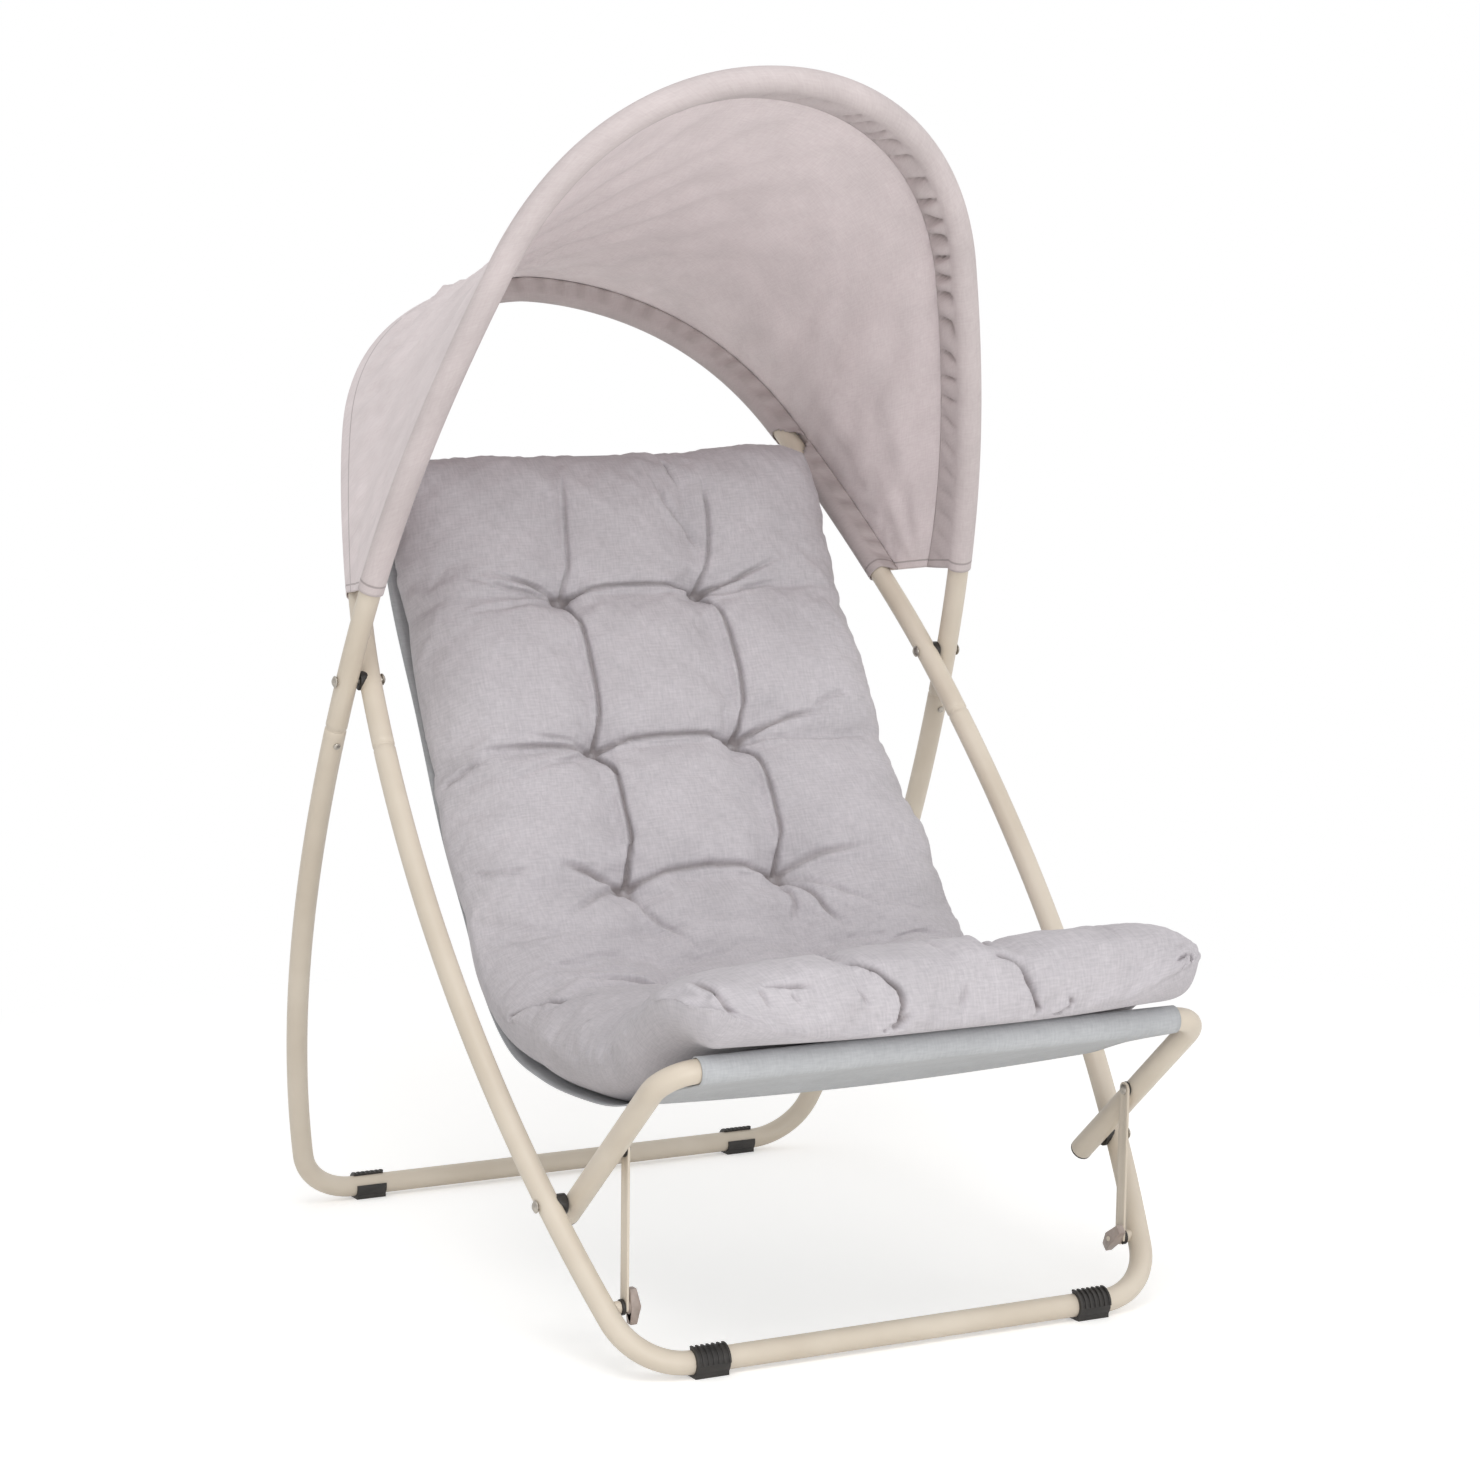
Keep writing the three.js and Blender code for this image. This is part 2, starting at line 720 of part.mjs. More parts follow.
function makeStruts() {
  const { shape, foot } = strutShape();
  const flat = new THREE.ExtrudeGeometry(shape, {
    depth: strutThickness, bevelEnabled: false, curveSegments: 8,
  });
  const way = notchWay();
  const notchRadius = studRadius + 2 * seatGap;
  const reach = 2 * strutHalfWidth;
  const slot = new THREE.Shape();
  const side = vec(-way.z, way.y).multiplyScalar(notchRadius);
  const mouth = vec(foot.x + way.y * reach, foot.y + way.z * reach);
  slot.moveTo(foot.x + side.x, foot.y + side.y);
  slot.lineTo(foot.x - side.x, foot.y - side.y);
  slot.lineTo(mouth.x - side.x, mouth.y - side.y);
  slot.lineTo(mouth.x + side.x, mouth.y + side.y);
  const eye = new THREE.Shape();
  eye.absarc(foot.x, foot.y, notchRadius, 0, 2 * Math.PI, false);
  const deep = { depth: strutThickness + 2 * overrun, bevelEnabled: false, curveSegments: 6 };
  const cutters = [slot, eye].map((s) => new THREE.ExtrudeGeometry(s, deep).translate(0, 0, -overrun));
  // The extrusion runs along Z; this turns it so that its depth lies along X
  const upright = new THREE.Matrix4().makeBasis(
    new THREE.Vector3(0, 1, 0), new THREE.Vector3(0, 0, 1), new THREE.Vector3(1, 0, 0),
  );
  const plate = subtract(flat, ...cutters).applyMatrix4(upright);
  for (const { name, sign } of sides) {
    const place = new THREE.Vector3(sign > 0 ? strutInner : -strutOuter, strutPivot.y, strutPivot.z);
    addPiece(`support_strut_${name}`, plate.clone(), coatedTube, place);
  }
}

function makeStrutFixings() {
  const grownLegs = sweep(legLine(frontFrame), tubeRadius + seatGap);
  const washerInner = strutOuter + seatGap;
  const bossInner = washerInner + studWasherDepth + seatGap;
  const headSeatX = strutInner - seatGap;
  const rivet = [
    [headSeatX - strutRivetHeadHeight, 0],
    [headSeatX - strutRivetHeadHeight, washerRadius / 3],
    [headSeatX - strutRivetHeadHeight / 3, washerRadius * rivetHeadShare],
    [headSeatX, washerRadius * rivetHeadShare],
    [headSeatX, studRadius],
    [armHalf - seatGap, studRadius],
    [armHalf - seatGap, 0],
  ];
  const studTip = strutInner - seatGap - knobHubDepth - knobDepth;
  for (const { name, sign } of sides) {
    const upperX = sign > 0 ? washerInner : -washerInner - washerDepth;
    const lowerX = sign > 0 ? washerInner : -washerInner - studWasherDepth;
    const upper = new THREE.Vector3(upperX, strutPivot.y, strutPivot.z);
    const lower = new THREE.Vector3(lowerX, studLeg.y, studLeg.z);
    addPiece(`upper_strut_washer_${name}`, washerRing(washerDepth), blackPlastic, upper);
    addPiece(`lower_strut_washer_${name}`, washerRing(studWasherDepth), blackPlastic, lower);
    const pin = addPiece(`strut_rivet_${name}`, turned(rivet, tubeSides), zincSteel);
    pin.position.set(0, strutPivot.y, strutPivot.z);
    if (sign < 0) pin.rotation.z = Math.PI;
    const boss = rod(
      new THREE.Vector3(sign * studLeg.x, studLeg.y, studLeg.z),
      new THREE.Vector3(sign * bossInner, studLeg.y, studLeg.z),
      bossRadius,
    );
    const stud = rod(
      new THREE.Vector3(sign * (bossInner + overrun), studLeg.y, studLeg.z),
      new THREE.Vector3(sign * studTip, studLeg.y, studLeg.z),
      studRadius,
    );
    addPiece(`strut_stud_${name}`, subtract(unite(subtract(boss, grownLegs), stud), grownLegs), coatedTube);
  }
}

// A wing knob: two wings that taper from a deep middle, a short hub and a bore right through
function knobGeometry() {
  const station = (reach, width, depth) => [
    new THREE.Vector3(-depth, -width / 2, reach),
    new THREE.Vector3(-depth, width / 2, reach),
    new THREE.Vector3(0, width / 2, reach),
    new THREE.Vector3(0, -width / 2, reach),
  ];
  const wings = loft([
    station(-knobWingHalf, knobTipWidth, knobTipDepth),
    station(0, knobWingWidth, knobDepth),
    station(knobWingHalf, knobTipWidth, knobTipDepth),
  ]);
  const hub = rod(
    new THREE.Vector3(-knobDepth / 2, 0, 0), new THREE.Vector3(knobHubDepth, 0, 0), knobHubRadius, 16,
  );
  const bore = rod(
    new THREE.Vector3(-knobDepth - overrun, 0, 0),
    new THREE.Vector3(knobHubDepth + overrun, 0, 0),
    studRadius + seatGap,
  );
  return subtract(unite(wings, hub), bore);
}

function makeKnobs() {
  const geometry = knobGeometry();
  const x = strutInner - seatGap - knobHubDepth;
  for (const { name, sign } of sides) {
    const place = new THREE.Vector3(sign * x, studLeg.y, studLeg.z);
    const knob = addPiece(`wing_knob_${name}`, geometry.clone(), knobPlastic, place);
    knob.rotation.x = THREE.MathUtils.degToRad(knobTurnDegrees[name]);
    if (sign < 0) knob.rotation.z = Math.PI;
  }
}

// A ribbed clip round a foot bar, open towards the middle of the chair, flat underneath
function clipGeometry() {
  const inner = tubeRadius + seatGap;
  const outer = inner + clipWall;
  const mouth = THREE.MathUtils.degToRad(clipMouthDegrees);
  // The mouth looks along +Y and up; the ribs go round the outer upper side
  const open = Math.PI / 4;
  const from = open + mouth / 2;
  const to = open - mouth / 2 + 2 * Math.PI;
  const shape = new THREE.Shape();
  shape.absarc(0, 0, outer, from, (3 * Math.PI) / 2 - Math.asin(clipBaseHalf / outer), false);
  shape.lineTo(-clipBaseHalf, -footAxisHeight);
  shape.lineTo(clipBaseHalf, -footAxisHeight);
  shape.absarc(0, 0, outer, (3 * Math.PI) / 2 + Math.asin(clipBaseHalf / outer), to, false);
  shape.absarc(0, 0, inner, to, from, true);
  const body = new THREE.ExtrudeGeometry(shape, { depth: clipLength, bevelEnabled: false, curveSegments: 7 });
  const rib = new THREE.Shape();
  const ribEnd = Math.PI * 1.02;
  rib.absarc(0, 0, outer + clipRibHeight, from, ribEnd, false);
  rib.absarc(0, 0, outer - clipWall / 2, ribEnd, from, true);
  const ribBody = new THREE.ExtrudeGeometry(rib, {
    depth: clipRibWidth, bevelEnabled: false, curveSegments: 4,
  });
  const parts = [body];
  const pitch = (clipLength - clipRibWidth) / (clipRibCount - 1);
  for (let k = 0; k < clipRibCount; k++) {
    parts.push(ribBody.clone().translate(0, 0, k * pitch));
  }
  const clip = unite(...parts).translate(0, 0, -clipLength / 2);
  const upright = new THREE.Matrix4().makeBasis(
    new THREE.Vector3(0, 1, 0), new THREE.Vector3(0, 0, 1), new THREE.Vector3(1, 0, 0),
  );
  return clip.applyMatrix4(upright);
}

function makeFeet() {
  const clip = clipGeometry();
  for (const { name, sign } of sides) {
    addPiece(`front_foot_${name}`, clip.clone(), blackPlastic,
      new THREE.Vector3(sign * frontClipHalf, frontFoot.y, footAxisHeight));
    const rear = addPiece(`rear_foot_${name}`, clip.clone(), blackPlastic,
      new THREE.Vector3(sign * rearClipHalf, rearFoot.y, footAxisHeight));
    rear.rotation.z = Math.PI;
  }
}

// A round tube between the rear hoop's sides, coped to fit them
function makeCrossbar() {
  const bar = rod(
    new THREE.Vector3(-crossbarHalf, crossbar.y, crossbar.z),
    new THREE.Vector3(crossbarHalf, crossbar.y, crossbar.z),
    crossbarRadius,
  );
  const grownHoop = sweep(hoopLine(frontFrame), tubeRadius + seatGap);
  addPiece("backrest_crossbar", subtract(bar, grownHoop), coatedTube);
}

// Canopy: a ring of points round a tube, in the plane that across and out span
function sleeveRing(centre, { across, out }, startDegrees, endDegrees, radius) {
  const points = [];
  for (let k = 0; k <= sleeveSegments; k++) {
    const degrees = THREE.MathUtils.lerp(startDegrees, endDegrees, k / sleeveSegments);
    const angle = THREE.MathUtils.degToRad(degrees);
    const beside = along(centre, across, radius * Math.cos(angle));
    points.push(along(beside, out, radius * Math.sin(angle)));
  }
  return points;
}

// Two square directions at a point of a hoop: across to the other hoop, and out from the chair's middle
function sleeveBasis(centre, other, tangent, hub) {
  const across = other.clone().sub(centre).projectOnPlane(tangent).normalize();
  const out = tangent.clone().cross(across).normalize();
  if (out.dot(centre.clone().sub(hub)) < 0) out.negate();
  return { across, out };
}

// One layer of the canopy's section: round the front hoop, along the hollow sheet, round the rear hoop
function canopyLayer(front, rear, frontBasis, rearBasis, radius) {
  const leave = 90 - THREE.MathUtils.radToDeg(Math.atan(4 * canopySagShare));
  const frontRing = sleeveRing(front, frontBasis, leave + sleeveTurnDegrees, leave, radius);
  const rearRing = sleeveRing(rear, rearBasis, leave, leave + sleeveTurnDegrees, radius);
  const from = frontRing[sleeveSegments];
  const to = rearRing[0];
  const sheet = [];
  for (let k = 1; k < sheetCount; k++) {
    const t = k / sheetCount;
    const inwards = frontBasis.out.clone().lerp(rearBasis.out, t).normalize();
    const sag = canopySagShare * from.distanceTo(to) * 4 * t * (1 - t);
    sheet.push(from.clone().lerp(to, t).addScaledVector(inwards, -sag));
  }
  return [...frontRing, ...sheet, ...rearRing];
}

function canopyStations() {
  const front = hoopLine(rearFrame);
  const rear = hoopLine(frontFrame);
  const skip = front.spans[0].steps + front.spans[1].steps;
  const innerRadius = tubeRadius + sleeveClearance;
  const stations = [];
  for (let i = skip; i <= front.steps - skip; i++) {
    const u = i / front.steps;
    const b = front.getPointAt(u);
    const a = rear.getPointAt(u);
    const hub = new THREE.Vector3(0, a.y, pivotHeight);
    const frontBasis = sleeveBasis(b, a, front.getTangentAt(u), hub);
    const rearBasis = sleeveBasis(a, b, rear.getTangentAt(u), hub);
    const outer = canopyLayer(b, a, frontBasis, rearBasis, innerRadius + clothThickness);
    const inner = canopyLayer(b, a, frontBasis, rearBasis, innerRadius);
    stations.push([...outer, ...inner.reverse()]);
  }
  return stations;
}

function makeCanopy() {
  const reach = tubeRadius + sleeveClearance + clothThickness + overrun;
  const rise = crossbarRise + (slotAbove - slotBelow) / 2;
  const cutters = sides.map(({ sign }) => {
    const middle = onFrame(frontFrame, sign * (frameHalf(frontFrame, rise) - reach), rise);
    const slot = new THREE.BoxGeometry(2 * reach, slotAbove + slotBelow, 2 * reach);
    slot.rotateX(frontAngle);
    return slot.translate(middle.x, middle.y, middle.z);
  });
  addPiece("canopy", subtract(loft(canopyStations()), ...cutters), canopyCloth);
}

// Sling: its side line as shares of the span from the seat bar to the crossbar
const slingLineShares = [
  [0.929, 0.735], [0.842, 0.499], [0.761, 0.268], [0.69, 0.12], [0.629, -0.016],
  [0.549, -0.104], [0.445, -0.134], [0.331, -0.137], [0.216, -0.121], [0.102, -0.067],
];

function slingPoint([yShare, zShare]) {
  return vec(
    seatBar.y + yShare * (crossbar.y - seatBar.y),
    seatBar.z + zShare * (crossbar.z - seatBar.z),
  );
}

// A sleeve round a bar, from its slit to where the cloth leaves it, then turned back for the other end
function barSleeve(centre, radius, leaveAngle, turn, count) {
  const points = [];
  for (let k = 0; k <= count; k++) {
    const angle = leaveAngle + turn * (1 - k / count);
    points.push(vec(centre.y + radius * Math.cos(angle), centre.z + radius * Math.sin(angle)));
  }
  return points;
}

// Where the cloth leaves a bar's sleeve, square to the way in which it runs on
function leavePoint(centre, next, radius) {
  const way = Math.atan2(centre.z - next.y, centre.y - next.x) + Math.PI / 2;
  return { angle: way, point: vec(centre.y + radius * Math.cos(way), centre.z + radius * Math.sin(way)) };
}

const slingMiddle = slingLineShares.map(slingPoint);
const topSleeve = crossbarRadius + sleeveClearance + slingThickness / 2;
const barSleeveRadius = tubeRadius + sleeveClearance + slingThickness / 2;
const topLeave = leavePoint(crossbar, slingMiddle[0], topSleeve);
const barLeave = leavePoint(seatBar, slingMiddle[slingMiddle.length - 1], barSleeveRadius);
const slingCurve = new THREE.CatmullRomCurve3(
  [topLeave.point, ...slingMiddle, barLeave.point].map((p) => new THREE.Vector3(0, p.x, p.y)),
);

// The cushion's rows lie on the sling from its top end to its last tufts; both pieces share these places
function restShares() {
  const start = cushionTopDrop / slingCurve.getLength();
  const edges = [0, ...tuftRowShares];
  const list = [];
  for (let k = 0; k + 1 < edges.length; k++) {
    for (let j = 0; j < stepsPerCell; j++) {
      const t = j / stepsPerCell;
      const eased = t - seamCrowdShare * Math.sin(2 * Math.PI * t);
      list.push(edges[k] + (edges[k + 1] - edges[k]) * eased);
    }
  }
  list.push(1);
  return list.map((share) => start + share * cushionRestShare);
}

const restPoints = restShares().map((share) => {
  const p = slingCurve.getPointAt(share);
  return vec(p.y, p.z);
});

function slingLine() {
  const sleeveTurn = THREE.MathUtils.degToRad(sleeveTurnDegrees);
  const top = barSleeve(crossbar, topSleeve, topLeave.angle, -sleeveTurn, sleeveSegments);
  const bar = barSleeve(seatBar, barSleeveRadius, barLeave.angle, -sleeveTurn, sleeveSegments).reverse();
  return [...top, ...restPoints, slingMiddle[slingMiddle.length - 1], ...bar];
}

// Moves a plane line sideways by a distance, along its own normals
function offsetLine(points, distance) {
  return points.map((p, k) => {
    const before = points[Math.max(k - 1, 0)];
    const after = points[Math.min(k + 1, points.length - 1)];
    const way = after.clone().sub(before).normalize();
    return vec(p.x - way.y * distance, p.y + way.x * distance);
  });
}

// How far the loaded cloth hangs below its side line: most at the seat's middle, nothing at its ends
function clothSag(y, z, across) {
  const low = seatBar.y;
  const high = seatBar.y + slingLineShares[3][0] * (crossbar.y - seatBar.y);
  const t = THREE.MathUtils.clamp((y - low - 2 * tubeRadius) / (high - low), 0, 1);
  return slingSag * Math.sin(Math.PI * t) * (1 - across * across);
}

function slingHalfAt(z) {
  const topHalf = frameHalf(frontFrame, crossbarRise + crossbarRadius) - tubeRadius - slingHoopClearance;
  const t = THREE.MathUtils.clamp((z - seatBar.z) / (crossbar.z - seatBar.z), 0, 1);
  return THREE.MathUtils.lerp(slingHalf, topHalf, t);
}

function makeSling() {
  const line = slingLine();
  const outer = offsetLine(line, slingThickness / 2);
  const inner = offsetLine(line, -slingThickness / 2).reverse();
  const columns = 8;
  const stations = [];
  for (let k = 0; k <= columns; k++) {
    const across = (2 * k) / columns - 1;
    stations.push([...outer, ...inner].map(
      (p) => new THREE.Vector3(across * slingHalfAt(p.y), p.x, p.y - clothSag(p.x, p.y, across)),
    ));
  }
  addPiece("sling", loft(stations), slingCloth);
}

// Cushion: its underside follows the sling, then passes over the seat bar
function cushionBase() {
  const lift = slingThickness / 2 + cushionClearance;
  const rest = offsetLine([topLeave.point, ...restPoints], -lift).slice(1);
  const last = rest[rest.length - 1];
  const way = last.clone().sub(rest[rest.length - 2]).normalize();
  const overBar = vec(seatBar.y, seatBar.z + barSleeveRadius + slingThickness / 2 + cushionBarGap);
  const reach = last.distanceTo(overBar) * frontHandleShare;
  const rise = cubic(
    last, last.clone().addScaledVector(way, reach), vec(overBar.x + reach, overBar.y), overBar,
  );
  const lip = vec(overBar.x - cushionOverhang, overBar.y + cushionBarGap);
  return [...rest, ...rise.getSpacedPoints(frontSteps).slice(1), lip.clone().lerp(overBar, 1 / 2), lip];
}

// 1 at a cell's middle and 0 on its seams
function cellCrown(position, edges) {
  for (let k = 0; k + 1 < edges.length; k++) {
    if (position <= edges[k + 1]) {
      const t = (position - edges[k]) / (edges[k + 1] - edges[k]);
      return Math.sqrt(Math.max(Math.sin(Math.PI * THREE.MathUtils.clamp(t, 0, 1)), 0));
    }
  }
  return 0;
}

// How near a point lies to the closest tuft, from 0 to 1
function tuftNear(share, x, length, tuftShares) {
  const away = tuftShares.map((row) => Math.hypot((share - row) * length, Math.abs(x) - tuftColumnHalf));
  return Math.exp(-((Math.min(...away) / tuftSpread) ** 2));
}

// Grid lines crowd at the seams, so that they land on the tufts
function cushionAcross() {
  const tuft = tuftColumnHalf / cushionHalf;
  const right = [
    ...innerColumnShares.map((share) => tuft * share),
    ...outerColumnShares.map((share) => THREE.MathUtils.lerp(tuft, 1, share)),
  ];
  return [...right.map((share) => -share).reverse(), 0, ...right];
}

// Shares of the cushion's length at which its rows lie
function rowShares(points) {
  const reached = [0];
  points.slice(1).forEach((p, k) => reached.push(reached[k] + p.distanceTo(points[k])));
  const length = reached[reached.length - 1];
  return { length, shares: reached.map((d) => d / length) };
}

// Rises as a quarter circle does, from 0 at an edge to 1 at the end of its round
function roundOff(distance) {
  const t = Math.min(distance / cushionRound, 1);
  return Math.sqrt(1 - (1 - t) ** 2);
}

// Rises from 0 at the start to 1 at the peak and falls to 0 at the end
function swell(share, start, peak, end) {
  return THREE.MathUtils.smoothstep(share, start, peak) * (1 - THREE.MathUtils.smoothstep(share, peak, end));
}

// The cushion's half width and how far its edge lifts off the sling, at a share of its length
function cushionEdge(share, tuftShares, rowCrown) {
  const { lerp, smoothstep } = THREE.MathUtils;
  const bend = swell(share, tuftShares[1], tuftShares[2], tuftShares[4]);
  const front = smoothstep(share, tuftShares[3], 1);
  const wide = lerp(cushionHalf - cushionTopNarrowing, cushionHalf, Math.min(share / tuftShares[1], 1));
  return {
    half: wide + cushionFrontSpread * Math.max(front, bend) - cushionSideDraw * (1 - rowCrown),
    edgeLift: cushionEdgeLift + cushionBendLift * bend + cushionFrontLift * front,
  };
}

// The heights of the cushion's underside and top above its base line, at one point of a row
function cushionHeights(across, row) {
  const crown = Math.min(roundOff((1 - Math.abs(across)) * row.half), row.endCrown);
  const columnEdges = [-cushionHalf, -tuftColumnHalf, tuftColumnHalf, cushionHalf];
  const puff = Math.min(row.rowCrown, cellCrown(across * cushionHalf, columnEdges));
  const near = tuftNear(row.share, across * row.half, row.length, row.tuftShares);
  const dip = seamDepth * (1 - puff) + (tuftDepth - seamDepth) * near;
  const under = row.edgeLift * (1 - crown);
  const over = under + cushionEdgeDepth + (cushionDepth - cushionEdgeDepth - under - dip) * crown;
  return { under, over };
}

function makeCushion() {
  const base = cushionBase();
  const { length, shares } = rowShares(base);
  const tuftShares = tuftRowShares.map((share, k) => shares[stepsPerCell * (k + 1)]);
  const stations = base.map((place, i) => {
    const share = shares[i];
    const ahead = base[Math.min(i + 1, base.length - 1)];
    const way = ahead.clone().sub(base[Math.max(i - 1, 0)]).normalize();
    const endCrown = roundOff(Math.min(share, 1 - share) * length);
    const rowCrown = cellCrown(share, [0, ...tuftShares, 1]);
    const edge = cushionEdge(share, tuftShares, rowCrown);
    const row = { share, length, tuftShares, endCrown, rowCrown, ...edge };
    const at = (across, height) => new THREE.Vector3(
      across * row.half,
      place.x + way.y * height,
      place.y - way.x * height - clothSag(place.x, place.y, across),
    );
    const upper = cushionAcross().map((across) => at(across, cushionHeights(across, row).over));
    const lower = cushionAcross().map((across) => at(across, cushionHeights(across, row).under));
    return [...upper, ...lower.reverse()];
  });
  addPiece("cushion", loft(stations), cushionCloth);
}

function pivotCuts(frame) {
  return sides.map(({ sign }) => pivotHole(
    new THREE.Vector3(sign * frame.pivotHalf, 0, pivotHeight), tubeRadius + overrun,
  ));
}

const seatBoltCuts = sides.map(({ sign }) => pivotHole(
  new THREE.Vector3(sign * seatPivotHalf, seatPivot.y, seatPivot.z), tubeRadius + overrun,
));

makeLegs("front_leg_frame", frontFrame, -1, seatBoltCuts);
makeHoop("rear_hoop", frontFrame, -1, pivotCuts(frontFrame));
makeJointScrews("front_joint_screw", frontFrame, -1);
makeLegs("rear_leg_frame", rearFrame, 1, []);
makeHoop("front_hoop", rearFrame, 1, pivotCuts(rearFrame));
makeJointScrews("rear_joint_screw", rearFrame, 1);
makeMainPivots();
makeCrossbar();
makeFeet();
makeSeatFrame();
makeEndPlugs();
makeSeatPivots();
makeStruts();
makeStrutFixings();
makeKnobs();
makeSling();
makeCushion();
makeCanopy();

// The origin goes to the middle of the chair's outline
lounger.updateMatrixWorld(true);
const outline = new THREE.Box3().setFromObject(lounger, true);
lounger.position.y = -(outline.min.y + outline.max.y) / 2;

export default lounger;
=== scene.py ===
# %% [markdown]
# # A folding sun lounger with a hooped canopy
# The frame is bent, powder-coated steel tube. A cloth sling hangs in it, a tufted
# cushion lies in the sling, and one sheet of cloth is stretched over two hoops.
# The measured solids come in first, and everything below is dressed around them.

# %% The fixed frame
import json
import math

import bmesh
import bpy
import numpy as np
from mathutils import Matrix, Vector


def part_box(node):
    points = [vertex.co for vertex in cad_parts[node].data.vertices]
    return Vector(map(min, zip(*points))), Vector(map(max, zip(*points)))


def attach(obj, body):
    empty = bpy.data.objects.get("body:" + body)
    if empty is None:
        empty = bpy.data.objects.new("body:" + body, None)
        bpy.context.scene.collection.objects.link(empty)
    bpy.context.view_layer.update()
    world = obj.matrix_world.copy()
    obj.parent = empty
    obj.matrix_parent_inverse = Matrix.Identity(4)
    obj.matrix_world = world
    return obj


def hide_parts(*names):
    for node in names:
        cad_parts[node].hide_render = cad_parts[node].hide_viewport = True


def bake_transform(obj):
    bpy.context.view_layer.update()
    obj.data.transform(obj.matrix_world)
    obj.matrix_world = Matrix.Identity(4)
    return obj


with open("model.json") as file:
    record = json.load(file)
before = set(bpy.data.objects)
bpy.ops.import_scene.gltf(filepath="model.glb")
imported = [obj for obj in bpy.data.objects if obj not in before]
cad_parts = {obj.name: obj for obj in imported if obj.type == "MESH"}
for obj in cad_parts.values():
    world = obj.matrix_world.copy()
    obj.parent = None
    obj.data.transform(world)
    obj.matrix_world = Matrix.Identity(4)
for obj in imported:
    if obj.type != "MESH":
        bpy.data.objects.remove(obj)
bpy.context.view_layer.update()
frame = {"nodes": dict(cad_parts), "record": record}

# %% [markdown]
# ## Where things are
# All places are in metres. The two folding frames cross at the main pivot, so the
# pivot's rivet gives the one place that everything else is measured from.

# %% The main pivot and a few lookups
MM = 0.001


def middle_of(node):
    low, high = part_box(node)
    return (low + high) / 2


pivot = middle_of("pivot_rivet_right")
pivot.x = 0
body_of_node = {n: b for b, ns in frame["record"]["behaviour"]["bodies"].items() for n in ns}
slot_of_node = {s["node"]: s["material_slot"] for s in frame["record"]["subparts"]}
print("main pivot:", tuple(round(c, 4) for c in pivot))

# %% [markdown]
# ## The camera
# The lounger is seen from the front, a little from the side of the pieces named left, and
# from about a metre up. The three angles turn the camera right, down and round its own
# line of sight.

# %% Camera


def new_object(name, data):
    made = bpy.data.objects.new(name, data)
    bpy.context.scene.collection.objects.link(made)
    return made


YAW, DOWN, ROLL = (math.radians(a) for a in (26.3, 5.98, -0.71))
CAMERA_FROM_PIVOT = Vector((-1739.16, -3731.44, 341.34)) * MM

sight = Vector((math.sin(YAW) * math.cos(DOWN), math.cos(YAW) * math.cos(DOWN), -math.sin(DOWN)))
level = Vector((math.cos(YAW), -math.sin(YAW), 0))
upright = level.cross(sight)
right = math.cos(ROLL) * level + math.sin(ROLL) * upright
up = -math.sin(ROLL) * level + math.cos(ROLL) * upright

camera = new_object("camera", bpy.data.cameras.new("camera"))
camera.data.lens = 85.6
camera.data.sensor_width = 36
turn = Matrix((right, up, -sight)).transposed().to_4x4()
camera.matrix_world = Matrix.Translation(pivot + CAMERA_FROM_PIVOT) @ turn
bpy.context.scene.camera = camera
bpy.context.scene.view_settings.view_transform = "Standard"
print("camera at", tuple(round(c, 3) for c in camera.location))

# %% [markdown]
# ## Materials
# Every finish starts from what the real thing is made of and how it was made. One
# function adds a node with its settings and links, and one turns a hex colour, as
# a paint chart writes it, into the linear numbers that a shader wants.

# %% Helpers for materials


def linear(hex_colour):
    values = [int(hex_colour[i:i + 2], 16) / 255 for i in (1, 3, 5)]
    return [*(v / 12.92 if v <= 0.04045 else ((v + 0.055) / 1.055) ** 2.4 for v in values), 1]


def connect(tree, node, **links):
    """Gives a node's sockets, by name or as _number, their values or their sources."""
    for key, value in links.items():
        socket = node.inputs[int(key[1:])] if key[0] == "_" else node.inputs[key.replace("_", " ")]
        if isinstance(value, bpy.types.NodeSocket):
            tree.links.new(value, socket)
        else:
            socket.default_value = value


def add_node(tree, kind, settings=None, out=0, **links):
    """Adds a node with its own settings and its links, and gives one of its outputs."""
    node = tree.nodes.new("ShaderNode" + kind)
    for key, value in (settings or {}).items():
        setattr(node, key, value)
    connect(tree, node, **links)
    return node.outputs[out]


def new_material(name):
    material = bpy.data.materials.new(name)
    material.use_nodes = True
    tree = material.node_tree
    return material, tree, tree.nodes["Principled BSDF"]


# %% Hard finishes
def hard_finish(name, cloud, colours, gloss, grain=None, relief=None, grain_dulls=False, **values):
    """Slow clouds vary a hard surface's colour and gloss. A fine grain, where it has one, gives relief."""
    material, tree, skin = new_material(name)
    place = add_node(tree, "TexCoord", out="Object")
    slow = add_node(tree, "TexNoise", Vector=place, Scale=cloud[0], Detail=cloud[1])
    tone = add_node(tree, "MapRange", Value=slow, _1=0.35, _2=0.65)
    dark, light = (linear(colour) for colour in colours)
    colour = add_node(tree, "Mix", {"data_type": "RGBA"}, 2, _0=tone, _6=dark, _7=light)
    fine = slow
    if grain:
        fine = add_node(tree, "TexNoise", Vector=place, Scale=grain, Detail=2.0)
        bump = add_node(tree, "Bump", Strength=relief[0], Distance=relief[1], Height=fine)
        connect(tree, skin, Normal=bump)
    dull = add_node(
        tree, "MapRange", Value=fine if grain_dulls else slow, _1=0.3, _2=0.7, _3=gloss[0], _4=gloss[1],
    )
    connect(tree, skin, Base_Color=colour, Roughness=dull, **values)
    print(name)
    return material


